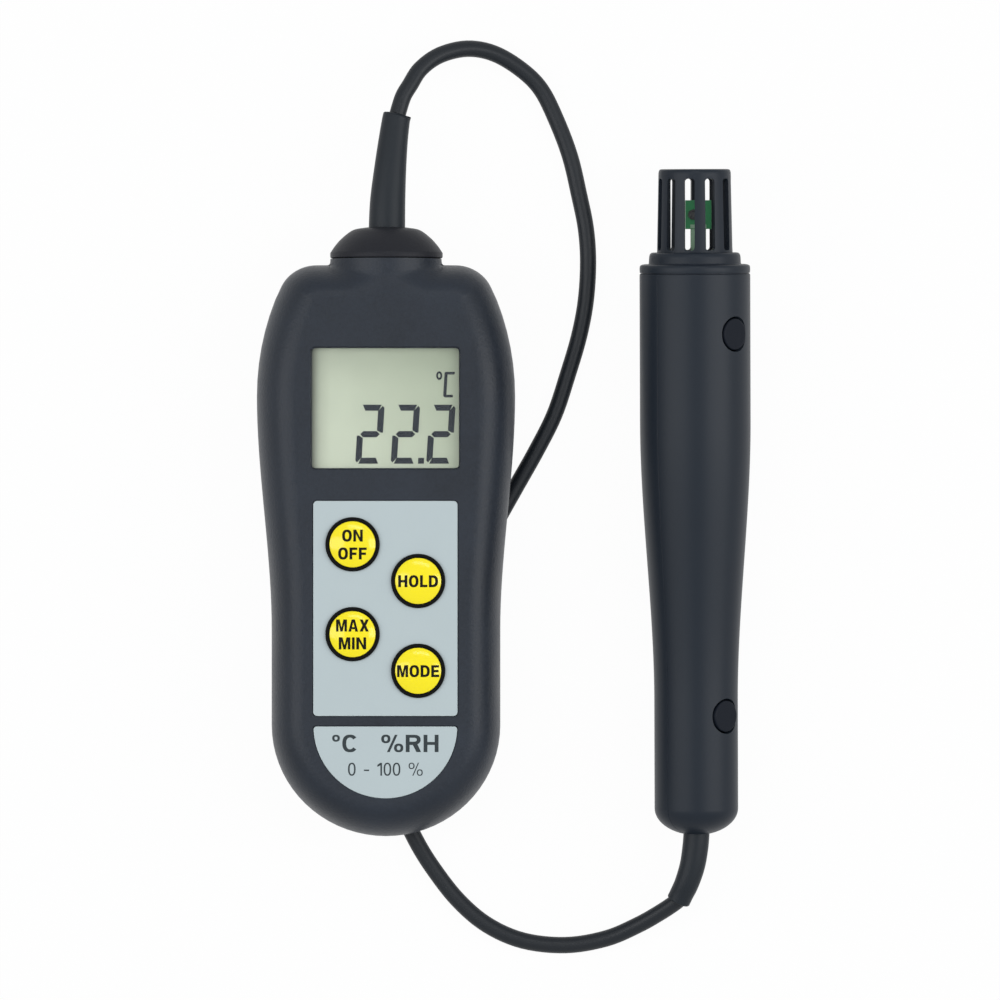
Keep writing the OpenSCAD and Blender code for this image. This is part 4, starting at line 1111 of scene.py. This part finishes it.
def glyph(letter, s):
    """Closed outlines of a letter one unit high, with stems s wide. Later ones are holes."""
    w, b = GLYPH_WIDTHS[letter], s * 0.86
    m = w / 2
    if letter in "O0":
        return [oval(m, 0.5, m, 0.51), oval(m, 0.5, m - s, 0.51 - b)]
    if letter == "D":
        right = oval(w * 0.4, 0.5, w * 0.6, 0.5, -90, 90)
        hole = oval(w * 0.4, 0.5, w * 0.6 - s, 0.5 - b, -90, 90)
        return [[(0, 0), *right, (0, 1)], [(s, b), *hole, (s, 1 - b)]]
    if letter == "C":
        return [oval(m, 0.5, m, 0.51, 38, 322) + oval(m, 0.5, m - s, 0.51 - b, 322, 38)]
    if letter == "R":
        bowl = oval(w * 0.52, 0.715, w * 0.45, 0.285, -62, 90, 14)
        hole = oval(w * 0.52, 0.715, w * 0.45 - s, 0.285 - b, -90, 90, 14)
        leg = [(0, 0), (s, 0), (s, 0.41), (w * 0.46, 0.41), (w - s * 1.2, 0), (w, 0)]
        return [[*leg, *bowl, (0, 1)], [(s, 0.43 + b), *hole, (s, 1 - b)]]
    if letter == "%":
        rings = []
        for x, y in ((0.24, 0.76), (w - 0.24, 0.24)):
            rings += [oval(x, y, 0.24, 0.25), oval(x, y, 0.24 - s * 0.72, 0.25 - b * 0.72)]
        k = s * 0.7
        return [*rings, [(0.3, 0), (0.3 + k, 0), (w - 0.3, 1), (w - 0.3 - k, 1)]]
    if letter == "°":
        return [oval(m, 0.8, m, 0.2), oval(m, 0.8, m - s * 0.6, 0.2 - b * 0.6)]
    k = (1 - b) / 2
    return [
        {
            "I": [(0, 0), (w, 0), (w, 1), (0, 1)],
            "-": [(0, 0.36), (w, 0.36), (w, 0.36 + b), (0, 0.36 + b)],
            "1": [(w - s, 0), (w, 0), (w, 1), (w - s, 1), (0, 0.84), (0, 0.68), (w - s, 0.8)],
            "L": [(0, 0), (w, 0), (w, b), (s, b), (s, 1), (0, 1)],
            "H": [
                (0, 0), (s, 0), (s, k), (w - s, k), (w - s, 0), (w, 0), (w, 1), (w - s, 1),
                (w - s, k + b), (s, k + b), (s, 1), (0, 1),
            ],
            "F": [
                (0, 0), (s, 0), (s, k - 0.02), (w * 0.9, k - 0.02), (w * 0.9, k + b - 0.02),
                (s, k + b - 0.02), (s, 1 - b), (w, 1 - b), (w, 1), (0, 1),
            ],
            "E": [
                (0, 0), (w, 0), (w, b), (s, b), (s, k), (w * 0.93, k), (w * 0.93, k + b),
                (s, k + b), (s, 1 - b), (w * 0.98, 1 - b), (w * 0.98, 1), (0, 1),
            ],
            "N": [
                (0, 0), (s * 0.95, 0), (s * 0.95, 0.66), (w - s, 0), (w, 0), (w, 1),
                (w - s * 0.95, 1), (w - s * 0.95, 0.34), (s, 1), (0, 1),
            ],
            "M": [
                (0, 0), (s * 0.9, 0), (s * 0.9, 0.7), (m - s * 0.42, 0), (m + s * 0.42, 0),
                (w - s * 0.9, 0.7), (w - s * 0.9, 0), (w, 0), (w, 1), (w - s * 1.3, 1),
                (m, 0.34), (s * 1.3, 1), (0, 1),
            ],
            "A": [
                (0, 0), (s * 1.1, 0), (w * 0.32, 0.2), (w * 0.68, 0.2), (w - s * 1.1, 0),
                (w, 0), (m + s * 0.6, 1), (m - s * 0.6, 1),
            ],
            "X": [
                (0, 0), (s * 1.15, 0), (m, 0.31), (w - s * 1.15, 0), (w, 0), (m + s * 0.62, 0.5),
                (w, 1), (w - s * 1.15, 1), (m, 0.69), (s * 1.15, 1), (0, 1), (m - s * 0.62, 0.5),
            ],
        }[letter],
        *([[(w * 0.37, 0.37), (w * 0.63, 0.37), (m, 0.78)]] if letter == "A" else []),
    ]  # fmt: skip


# Gap between letters, as a share of their height, then the longest edge of their mesh
# and how deep they reach below the surface, in millimetres
LETTER_GAP = 0.13
LETTER_EDGE = 0.7
LETTER_SINK = 0.05


def written(name, words, stem, box_width, box_height, centre, surface, thick=0.025):
    """Letters fitted to a box and laid on a surface given as z(x, y), in millimetres."""
    data = bpy.data.curves.new(name, "CURVE")
    data.dimensions = "2D"
    data.fill_mode = "BOTH"
    data.extrude = thick * MM
    pen = 0.0
    for letter in words:
        for loop in glyph(letter, stem) if letter != " " else []:
            line = data.splines.new("POLY")
            line.points.add(len(loop) - 1)
            for knot, (x, y) in zip(line.points, loop):
                knot.co = ((pen + x) * MM, y * MM, 0, 1)
            line.use_cyclic_u = True
        pen += GLYPH_WIDTHS[letter] + LETTER_GAP
    obj = bpy.data.objects.new(name, data)
    bpy.context.scene.collection.objects.link(obj)
    choose(obj)
    bpy.ops.object.convert(target="MESH")
    obj = bpy.context.object
    obj.name = obj.data.name = name
    xs, ys = ([v.co[axis] for v in obj.data.vertices] for axis in (0, 1))
    sx, sy = box_width * MM / (max(xs) - min(xs)), box_height * MM / (max(ys) - min(ys))
    mx, my = (max(xs) + min(xs)) / 2, (max(ys) + min(ys)) / 2
    work = bmesh.new()
    work.from_mesh(obj.data)
    for v in work.verts:
        v.co.x = (v.co.x - mx) * sx + centre[0] * MM
        v.co.y = (v.co.y - my) * sy + centre[1] * MM
    bmesh.ops.remove_doubles(work, verts=work.verts, dist=1e-7)
    bmesh.ops.triangulate(work, faces=work.faces)
    for _ in range(2):
        long_edges = [e for e in work.edges if e.calc_length() > LETTER_EDGE * MM]
        bmesh.ops.subdivide_edges(work, edges=long_edges, cuts=1)
        bmesh.ops.triangulate(work, faces=work.faces)
    for v in work.verts:
        level = surface(v.co.x / MM, v.co.y / MM)
        v.co.z = (level + (thick if v.co.z > 0 else -LETTER_SINK)) * MM
    bmesh.ops.recalc_face_normals(work, faces=work.faces)
    work.to_mesh(obj.data)
    work.free()
    return obj


# The body of each key, and its lines of text with their widths in millimetres
LEGENDS = {
    "key_on_off": ("on_off", [("ON", 4.55), ("OFF", 6.3)]),
    "key_hold": ("hold", [("HOLD", 8.8)]),
    "key_max_min": ("max_min", [("MAX", 7.25), ("MIN", 6.05)]),
    "key_mode": ("mode", [("MODE", 9.3)]),
}


def film(name, outline, low, top):
    """A flat film whose upper edge is drawn in. outline(grow) gives its outline."""
    levels = ((0, low), (0, top - 0.09), (-0.03, top - 0.03), (-0.1, top))
    return loft(name, [at(outline(grow), z) for grow, z in levels])


class THERMO_OT_keypad(bpy.types.Operator):
    """Make the keypad panel, the rings and the four keys with their legends"""

    bl_idname = "thermo.keypad"
    bl_label = "Keypad"

    def execute(self, context):
        sizes = context.scene.thermo_keypad
        width, height = PANEL_HIGH.x - PANEL_LOW.x, PANEL_HIGH.y - PANEL_LOW.y
        middle, face = (PANEL_HIGH.y + PANEL_LOW.y) / 2, PANEL_HIGH.z
        corner = sizes.corner / MM
        outline = lambda grow: moved(round_rect(width, height, corner, grow, 8), 0, middle)
        panel = film("keypad_film", outline, PANEL_LOW.z, face)
        centres = key_centres()
        for x, y in centres:
            hole = disc(KEY_HOLE, x, y)
            carve(panel, loft("key_cut", [at(hole, 20), at(hole, 27)]))
        place_piece(shade(panel), "instrument", "Panel film", "panel", "keypad_panel")
        outer = sizes.ring_diameter / MM / 2
        inner, top = outer - sizes.ring_rim / MM, face + sizes.ring_height / MM
        foot = [(inner, 23.1), (outer - 0.2, 23.1), (outer - 0.2, face + 0.02)]
        rim = [(outer, face + 0.02), (outer, top, 0.22), (inner, top, 0.12)]
        ring = turned("key_ring_set", soften(foot + rim), UPRIGHT, steps=72)
        copies(shade(ring, 50), [shift(x, y, 0) for x, y in centres])
        place_piece(ring, "instrument", "Ring plastic", "ring", "key_rings")
        for (node, (body, lines)), (x, y) in zip(LEGENDS.items(), centres):
            self.key(sizes, node, body, lines, x, y)
        return {"FINISHED"}

    def key(self, sizes, node, body, lines, x, y):
        """One key and its legend."""
        low, high = cad(node)
        radius, crown = sizes.key_diameter / MM / 2, 0.82
        edge = high.z - crown
        level = lambda share: edge + crown * (1 - min(1.0, share) ** 2.2) ** 0.8
        profile = [(0, low.z), (1.6, low.z), (1.6, 22.1), (6.4, 22.1), (6.4, 22.9)]
        profile += [(radius, 22.9), (radius, edge - 0.3)]
        for k in range(1, 24):
            share = math.cos(math.radians(90 * k / 24))
            profile.append((radius * share, level(share)))
        profile.append((0, high.z))
        key = turned("cap_" + body, profile, UPRIGHT, steps=80)
        key.data.transform(shift(x, y, 0))
        place_piece(shade(key, 35), body, "Key rubber", "key", node)
        surface = lambda px, py: level(math.hypot(px - x, py - y) / radius)
        cap, pitch = sizes.cap_height / MM, sizes.line_pitch / MM
        for k, (words, width) in enumerate(lines):
            spot = (x, y + pitch * ((len(lines) - 1) / 2 - k) - 0.05)
            legend = written("legend_" + words.lower(), words, 0.235, width, cap, spot, surface)
            place_piece(legend, body, "Printed ink", "ring")


class THERMO_OT_plate(bpy.types.Operator):
    """Make the half-round plate below the keypad, with plain unit signs on it"""

    bl_idname = "thermo.plate"
    bl_label = "Plate"

    def execute(self, context):
        radius, top = context.scene.thermo_keypad.plate_radius / MM, PLATE_HIGH.z
        outline = lambda grow: moved(half_disc(radius, 0.7, grow), 0, PLATE_HIGH.y)
        plate = film("unit_plate", outline, PLATE_LOW.z, top)
        place_piece(shade(plate), "instrument", "Panel film", "panel", "name_plate")
        level = lambda x, y: top
        bold = written("unit_signs", "°C  %RH", 0.2, 23.5, 3.9, (0, -81.4), level)
        thin = written("unit_range", "0 - 100 %", 0.13, 16.5, 2.9, (0, -87.1), level)
        for words in (bold, thin):
            place_piece(words, "instrument", "Plate ink", "ring")
        return {"FINISHED"}


# Cells


class THERMO_OT_cells(bpy.types.Operator):
    """Make the two cells and the wound contact springs in the well"""

    bl_idname = "thermo.cells"
    bl_label = "Battery cells"

    def execute(self, context):
        radius, half = (CELL_HIGH.z - CELL_LOW.z) / 2, (CELL_HIGH.y - CELL_LOW.y) / 2
        level, middle = (CELL_HIGH.z + CELL_LOW.z) / 2, (CELL_HIGH.y + CELL_LOW.y) / 2
        side = CELL_HIGH.x - radius
        low = [(0, -half), (3.9, -half, 0.2), (4.0, -half + 0.3, 0.1), (radius, -half + 0.3, 0.5)]
        high = [(radius, half - 1.3, 0.5), (3.4, half - 1.3, 0.2), (3.2, half - 1.05, 0.1)]
        nub = [(1.9, half - 1.05), (1.9, half, 0.3), (0, half)]
        cell = shade(turned("cell_pair", soften(low + high + nub), steps=64), 40)
        turn = Matrix.Rotation(math.pi, 4, "Z")
        copies(cell, [shift(side, middle, level), shift(-side, middle, level) @ turn])
        place_piece(cell, "instrument", "Cell wrap", "cell", "battery_cells")
        cell.data.materials.append(bpy.data.materials["Nickel"])
        for face in cell.data.polygons:
            x, y, z = face.center / MM
            off = math.hypot(abs(x) - side, z - level)
            if abs(y - middle) > half - 1.32 and off < radius - 0.7:
                face.material_index = 1
        start = cad("battery_springs")[0].y
        run = CELL_LOW.y - start
        coil, points, turns = [], 100, 4.5
        for k in range(points):
            t = k / (points - 1)
            a, r = math.tau * turns * t, 3.3 - 1.25 * t
            y = start + 0.3 + (run - 0.6) * t
            coil.append((side + r * math.cos(a), y, level + r * math.sin(a)))
        spring = swept("contact_spring", coil, [0.28] * points, 10)
        flat = soften([(0.6, 0), (3, 0), (3, 0.2, 0.08), (2.2, 0.4), (0.6, 0.4)])
        pad = turned("contact_pad", flat, shift(-side, CELL_HIGH.y, level), steps=40)
        shade(join(spring, pad), 40)
        place_piece(spring, "instrument", "Nickel", "nickel", "battery_springs")
        return {"FINISHED"}


# Cord

# Points along the cord, from the collar's boot round under the case to the probe's boot
CORD_ROUTE = [
    (2.5, 58, 11.4), (3.75, 62, 11), (5.3, 64.7, 10.3), (7.7, 68.4, 9), (12, 71.5, 7.4),
    (18, 73, 5.6), (24, 72, 4), (30, 68.5, 2.8), (34.5, 64, 2.1), (38, 57, 1.9),
    (41, 49, 1.9), (43, 40.5, 1.9), (44.5, 33, 1.9), (45, 25.5, 1.9), (44.5, 17, 1.9),
    (43, 9, 1.9), (40.5, 0.5, 1.9), (37.5, -8.5, 1.9), (33.5, -16.5, 1.9), (29, -24.5, 1.9),
    (24.5, -32.5, 1.9), (19.5, -41.5, 1.9), (14, -51, 1.9), (9, -60.5, 1.9), (5, -70.5, 1.9),
    (3, -80, 1.9), (2.5, -89, 1.9), (3.5, -96.5, 1.9), (6.5, -103.5, 1.9), (10.5, -110, 1.9),
    (16, -117, 1.9), (22.5, -122.5, 1.9), (30.5, -126, 1.9), (40, -127, 1.9),
    (49, -125.5, 2.4), (56, -122.5, 3.6), (61, -119.6, 5.4), (64.6, -117.1, 7.0),
    (65.5, -115.9, 7.5),
]  # fmt: skip


class THERMO_OT_cord(bpy.types.Operator):
    """Make the cord and the two boots that it leaves"""

    bl_idname = "thermo.cord"
    bl_label = "Cord and boots"

    def execute(self, context):
        sizes = context.scene.thermo_cord
        base = COLLAR_HIGH.y - 6.4
        wide, tip = sizes.boot_base / MM / 2, sizes.boot_tip / MM / 2
        start = [
            (0.1, base + 3, SPLIT_Z), (0.2, base + 6.4, SPLIT_Z), (0.38, 39, 12.4),
            (0.93, 46, 12.2), (1.55, 52, 11.85), (2.17, 56.6, 11.5), CORD_ROUTE[0],
        ]  # fmt: skip
        radii = [wide, wide, wide - 0.13, wide - 0.48, tip + 0.18, tip + 0.02, tip]
        first = self.boot("collar_boot", "instrument_boot", start, radii, (1, 4.4, -0.5))
        wide, tip = sizes.tail_base / MM / 2, sizes.tail_tip / MM / 2
        x, y, z = TAIL_X, TAIL_END, 9.1
        finish = [
            (x, y + 1.6, z), (x, y + 0.2, z), (68.8, -105, 9.0), (68.15, -109, 8.8),
            (66.95, -112.8, 8.4), (65.85, -115.2, 7.7), (65, -117, 7.2),
        ]  # fmt: skip
        radii = [wide, wide, wide, wide - 0.06, wide - 0.16, tip, tip]
        second = self.boot("handle_boot", "probe_boot", finish, radii, (-1.1, -2.4, -0.6))
        points = spline([Vector(p) * MM for p in CORD_ROUTE], 6)
        deselect()
        bpy.ops.curve.primitive_nurbs_path_add()
        cord = context.object
        cord.name = cord.data.name = "probe_cord"
        cord.data.splines.clear()
        line = cord.data.splines.new("POLY")
        line.points.add(len(points) - 1)
        for knot, p in zip(line.points, points):
            knot.co = (*p, 1)
        line.use_smooth = True
        cord.data.dimensions = "3D"
        cord.data.bevel_depth = sizes.diameter / 2
        cord.data.bevel_resolution = 7
        cord.data.use_fill_caps = True
        cord.matrix_world = Matrix.Identity(4)
        place_piece(cord, "instrument", "Cord rubber", "cord_rubber", "cord")
        return {"FINISHED"}

    def boot(self, name, node, path, radii, last):
        """A tapered boot with a rounded tip and a shallow mouth round the cord."""
        points = spline(path, 6)
        values = [v.x for v in spline([(r, 0, 0) for r in radii], 6)]
        tip, end = points.pop(), values.pop()
        toward = (tip - points[-1]).normalized()
        for back, drop in ((0.42, 0.0), (0.2, 0.05), (0.06, 0.16), (0.0, 0.34)):
            points.append(tip - toward * back)
            values.append(end - drop)
        boot = shade(swept(name, points, values, 48, last=last), 60)
        return place_piece(boot, "instrument", "Boot rubber", "boot_rubber", node)


# Probe


# Where the probe's tail ends on the table, in millimetres
TAIL_X, TAIL_END = 69.05, -102.15


def probe_place():
    """The probe's frame: its axis along Y from the tail's end, tilted to lie on the table."""
    tilt = Matrix.Rotation(math.radians(2.1039), 4, "X")
    return shift(TAIL_X, TAIL_END, 9.10346) @ Matrix.Rotation(math.radians(0.2), 4, "Z") @ tilt


# Degrees round the handle at which its screws sit, and their distances from its tail's end
SCREW_TURN = 46
SCREWS_AT = (26.8, 111.6)


class ProbeForm:
    """Profile of the handle, and the stations of the pieces at its head."""

    def __init__(self, sizes):
        for key in sizes.__annotations__:
            value = getattr(sizes, key)
            setattr(self, key, value if key in ("ribs", "lead") else value / MM)
        self.nose = self.handle_length + 0.3
        self.collar = self.nose + 1.8
        self.collar_end = self.collar + 2.6
        self.floor = self.collar - 0.6
        self.guard_end = self.collar_end + self.guard_length
        self.spigot = self.head_radius - self.wall - 0.05

    def radius(self, v):
        """Outer radius of the handle at a distance from its tail's end."""
        if v < self.tail_round:
            return self.tail_radius * math.sqrt(max(0, 1 - (1 - v / self.tail_round) ** 2))
        gain = self.head_radius - self.tail_radius
        return self.tail_radius + gain * smooth((v - self.tail_length) / self.taper_length)


class THERMO_OT_handle(bpy.types.Operator):
    """Make the two halves of the probe's handle and its screw plugs"""

    bl_idname = "thermo.handle"
    bl_label = "Probe handle"

    def execute(self, context):
        form = ProbeForm(context.scene.thermo_probe)
        place = probe_place()
        toward = Matrix.Rotation(math.radians(SCREW_TURN), 4, "Y")
        upper = self.half(form, "handle_top", SCREW_TURN - 90)
        lower = self.half(form, "handle_base", SCREW_TURN + 90)
        plug, plugs = form.plug_diameter / 2, []
        for v in SCREWS_AT:
            top = form.radius(v)
            low = top - plug**2 / 2 / top
            hole, rim = disc(plug + 0.32, 0, 0), disc(plug + 0.32, 0, 0, 0.12)
            levels = [at(hole, top - 4.2), at(hole, low - 0.15), at(rim, low), at(rim, top + 2)]
            cut = loft("plug_cut", levels)
            cut.data.transform(toward @ shift(0, v, 0))
            carve(upper, cut)
            low, high = top - 2.5, top - 0.12
            profile = [(0, low), (plug, low), (plug, high, 0.3), (plug - 1, high + 0.03)]
            profile = soften([*profile, (0, high + 0.03)])
            plugs.append(turned("plug", profile, shift(0, v, 0) @ UPRIGHT, steps=48))
        for obj, node in ((upper, "handle_upper"), (lower, "handle_lower")):
            shade(obj, 34)
            obj.data.transform(place)
            place_piece(obj, "instrument", "Probe plastic", "probe_plastic", node)
        pair = join(*plugs)
        pair.name = pair.data.name = "plug_pair"
        shade(pair, 40)
        pair.data.transform(place @ toward)
        # The plugs take the darker plastic that paints the shade of their recesses
        place_piece(pair, "instrument", "Plug plastic", "probe_plastic", "screw_plugs")
        return {"FINISHED"}

    def half(self, form, name, start):
        """Half of the handle, closed, with its edges drawn in at the seam."""
        hole, tail, head, end = 3.05, form.tail_radius, form.head_radius, form.handle_length
        first = math.asin(hole / tail)
        outer = []
        for k in range(15):
            turn = first + (math.pi / 2 - first) * k / 14
            outer.append((tail * math.sin(turn), form.tail_round * (1 - math.cos(turn))))
        outer += [(tail, v) for v in (12, 18, 24)]
        taper = [form.tail_length + form.taper_length * k / 31 for k in range(32)]
        outer += [(form.radius(v), v) for v in taper]
        outer += [(head, v) for v in (98, 104, 110, 116, 121, end - 0.35)]
        outer += [(head - 0.06, end - 0.08), (head - 0.2, end)]
        taper = [form.tail_length + form.taper_length * k / 10 for k in range(10, -1, -1)]
        thin = tail - form.wall
        inner = [(head - form.wall, end), *((form.radius(v) - form.wall, v) for v in taper)]
        inner += [(thin, 6), (thin - 3, 2.2), (hole, 2.2)]
        angles = [0, 0.6] + [180 * k / 90 for k in range(1, 90)] + [179.4, 180]
        loops = []
        for angle in angles:
            drawn = 0.11 if angle in (0, 180) else 0.0
            turn = math.radians(start + angle)
            s, c = math.sin(turn), math.cos(turn)
            points = [(r - drawn, v) for r, v in outer] + inner
            loops.append([(r * s, v, r * c) for r, v in points])
        return loft(name, loops)


class THERMO_OT_nose(bpy.types.Operator):
    """Make the nose ring, the slotted guard and the sensor inside it"""

    bl_idname = "thermo.nose"
    bl_label = "Nose, guard and sensor"

    def execute(self, context):
        form = ProbeForm(context.scene.thermo_probe)
        place = probe_place()
        start, front, floor, rim = form.nose, form.collar, form.floor, form.collar_end
        head, spigot, neck = form.head_radius, form.spigot, form.collar_radius
        bore, seam = form.guard_radius + 0.15, form.handle_length + 0.02
        shank = [(spigot, start - 6.2), (spigot, seam), (head - 0.3, seam)]
        ring = [(head - 0.3, start - 0.12), (head - 0.08, start - 0.12, 0.06)]
        ring += [(head, start + 0.5, 0.4), (head - 0.05, front - 0.25, 0.5)]
        step = [(head - 0.9, front + 0.02, 0.4), (neck + 0.15, front + 0.02, 0.25)]
        step += [(neck, rim, 1.1), (bore, rim, 0.12), (bore, floor), (3.4, floor)]
        inside = [(3.4, floor - 2), (spigot - 1.8, floor - 2), (spigot - 1.8, start - 6.2)]
        nose = turned("nose_ring", soften(shank + ring + step + inside), place, steps=120)
        place_piece(shade(nose, 40), "instrument", "Probe plastic", "probe_plastic", "nose_cap")
        self.guard(form, place)
        self.sensor(form, place)
        return {"FINISHED"}

    def guard(self, form, place):
        """The cap with its ring of ribs."""
        wide, top, end, foot = form.guard_radius, form.guard_top, form.guard_end, form.floor + 0.6
        inside = wide - 1.4
        side = [(inside, foot), (wide, foot), (wide, form.collar_end), (top + 0.03, end - 0.6, 0.5)]
        cap = [(top - 0.25, end, 0.7), (top - 1.3, end, 0.2), (top - 1.7, end - 0.12, 0.1)]
        cap += [(0, end - 0.12), (0, end - 1.6), (inside, end - 1.6)]
        guard = turned("slotted_guard", soften(side + cap), steps=132)
        low, high = form.collar_end + 0.5, end - 2.1
        slot = moved(round_rect(form.slot_width, high - low, 0.7), 0, (high + low) / 2)
        cutter = loft("slots", [at(slot, 4), at(slot, 12)])
        step = math.tau / form.ribs
        turns = [math.radians(7) + (i + 0.5) * step for i in range(form.ribs)]
        turns = [a + form.lead * (1 - math.cos(a)) / 2 for a in turns]
        copies(cutter, [Matrix.Rotation(a, 4, "Y") for a in turns])
        carve(guard, cutter)
        chamfer(guard, 0.16, 2, 45)
        shade(guard, 40)
        guard.data.transform(place)
        place_piece(guard, "guard", "Probe plastic", "probe_plastic", "sensor_guard")

    def sensor(self, form, place):
        """The sensor's board on its two strips, with the dark element on its face."""
        x, low, floor = 0.8, form.collar_end + 5.2, form.floor
        board = block("sensing_board", (x - 2.9, low, -0.4), (x + 2.9, low + 6.4, 0.4), 0.06)
        pads, strips = [], []
        for leg in (x - 1.25, x + 1.25):
            pads.append(block("pad", (leg - 0.55, low + 0.15, 0.4), (leg + 0.55, low + 1, 0.47)))
            strips.append(block("strip", (leg - 0.45, floor, -0.25), (leg + 0.45, low, 0.25), 0.05))
        leads = join(*strips, *pads)
        leads.name = leads.data.name = "sensor_strips"
        rim = [(0, 0.4), (1.15, 0.4), (1.15, 1.0, 0.15), (0.8, 1.0, 0.1), (0.7, 0.86, 0.1)]
        face = shift(x - 1.1, low + 3.2, 0) @ UPRIGHT
        element = turned("sensing_element", soften([*rim, (0, 0.86)]), face, steps=40)
        for obj, angle, material, slot, node in (
            (board, 32, "Sensor board", "sensor_green", "sensor_board"),
            (leads, 32, "Sensor lead", "sensor_lead", "sensor_leads"),
            (element, 40, "Dark element", "chip", "humidity_sensor"),
        ):
            shade(obj, angle)
            obj.data.transform(place)
            place_piece(obj, "instrument", material, slot, node)


# Stage


class THERMO_OT_stage(bpy.types.Operator):
    """Make the pale floor, the soft lamps, the world and the camera above the table"""

    bl_idname = "thermo.stage"
    bl_label = "Stage and camera"

    def execute(self, context):
        scene = context.scene
        scene.view_settings.view_transform = "Standard"
        centre = Vector((0.02533, -0.02761, 0))
        data = bpy.data.cameras.new("view")
        data.sensor_width = 36
        data.lens = 354.375
        data.clip_end = 20
        scene.camera = self.placed("view", data, centre + Vector((0, 0, 2.2)))
        self.floor(centre)
        self.sky(scene)
        self.lamp("left_softbox", (-0.78, 0.0, 1.0), (0.42, 1.3), 6.2)
        self.lamp("right_softbox", (1.06, 0.0, 0.94), (0.42, 1.3), 8.4)
        self.lamp("head_softbox", (0.14, 0.68, 1.4), (0.7, 0.2), 2.4)
        return {"FINISHED"}

    def placed(self, name, data, location):
        """A new camera or lamp in the scene."""
        obj = bpy.data.objects.new(name, data)
        obj.location = location
        bpy.context.scene.collection.objects.link(obj)
        return obj

    def looked_at(self, tree):
        """1 for what the camera sees, straight on or in gloss and glass."""
        path = add(tree, "ShaderNodeLightPath").outputs
        near = calc(tree, "MAXIMUM", path["Is Camera Ray"], path["Is Glossy Ray"])
        return calc(tree, "MAXIMUM", near, path["Is Transmission Ray"])

    def floor(self, centre):
        """A pale sheet that shows near white to the camera and keeps the shadow."""
        deselect()
        bpy.ops.mesh.primitive_plane_add(size=6, location=(centre.x, centre.y, 0))
        sheet = bpy.context.object
        sheet.name = "floor"
        tree, shader = fresh("Floor")
        matt = {"Roughness": 0.9, "Specular IOR Level": 0.0}
        fill(tree, shader, {"Base Color": (0.78, 0.78, 0.78, 1), **matt})
        glow = add(tree, "ShaderNodeEmission", {"Strength": 1.0})
        share = calc(tree, "MULTIPLY", self.looked_at(tree), 0.965)
        below = add(tree, "ShaderNodeNewGeometry").outputs["Backfacing"]
        through = add(tree, "ShaderNodeBsdfTransparent")
        whole = mixed(tree, below, mixed(tree, share, shader, glow), through)
        fill(tree, tree.nodes["Material Output"], {"Surface": whole.outputs[0]})
        sheet.data.materials.append(bpy.data.materials["Floor"])

    def sky(self, scene):
        """A world that is white to the camera and gives a soft, plain light."""
        world = bpy.data.worlds.new("Studio")
        scene.world = world
        world.use_nodes = True
        tree = world.node_tree
        light = tree.nodes["Background"]
        fill(tree, light, {"Color": (0.94, 0.97, 1.0, 1), "Strength": 0.45})
        white = add(tree, "ShaderNodeBackground", {"Color": (1, 1, 1, 1)})
        whole = mixed(tree, self.looked_at(tree), light, white)
        fill(tree, tree.nodes["World Output"], {"Surface": whole.outputs[0]})

    def lamp(self, name, location, size, power):
        """A rectangular softbox turned towards the object."""
        data = bpy.data.lights.new(name, "AREA")
        data.shape = "RECTANGLE"
        data.size, data.size_y = size
        data.energy = power
        lamp = self.placed(name, data, location)
        aim = Vector((0.02, -0.03, 0)) - lamp.location
        lamp.rotation_euler = aim.to_track_quat("-Z", "Y").to_euler()


# Panel and registration


class THERMO_PT_build(bpy.types.Panel):
    """Sizes, colours and the steps that build the instrument"""

    bl_idname = "THERMO_PT_build"
    bl_label = "Thermo-hygrometer"
    bl_space_type = "VIEW_3D"
    bl_region_type = "UI"
    bl_category = "Instrument"

    def draw(self, context):
        layout = self.layout
        for kind in STEPS:
            layout.operator(kind.bl_idname)
        for key, group in GROUPS.items():
            box = layout.box()
            box.label(text=group.__doc__)
            values = getattr(context.scene, key)
            for name in group.__annotations__:
                box.prop(values, name)


GROUPS = {
    "thermo_case": CaseSizes,
    "thermo_display": DisplaySizes,
    "thermo_keypad": KeypadSizes,
    "thermo_cord": CordSizes,
    "thermo_probe": ProbeSizes,
    "thermo_colours": Colours,
}
STEPS = [
    THERMO_OT_stage,
    THERMO_OT_finishes,
    THERMO_OT_cord,
    THERMO_OT_front,
    THERMO_OT_back,
    THERMO_OT_collar,
    THERMO_OT_display,
    THERMO_OT_keypad,
    THERMO_OT_plate,
    THERMO_OT_cells,
    THERMO_OT_handle,
    THERMO_OT_nose,
]


def register():
    for kind in (*GROUPS.values(), *STEPS, THERMO_PT_build):
        bpy.utils.register_class(kind)
    for key, group in GROUPS.items():
        setattr(bpy.types.Scene, key, PointerProperty(type=group))


def unregister():
    for key in GROUPS:
        delattr(bpy.types.Scene, key)
    for kind in reversed((*GROUPS.values(), *STEPS, THERMO_PT_build)):
        bpy.utils.unregister_class(kind)


def main():
    """Registers the add-on and runs its steps in order."""
    register()
    for kind in STEPS:
        group, name = kind.bl_idname.split(".")
        getattr(getattr(bpy.ops, group), name)()
    deselect()


if __name__ == "__main__":
    main()
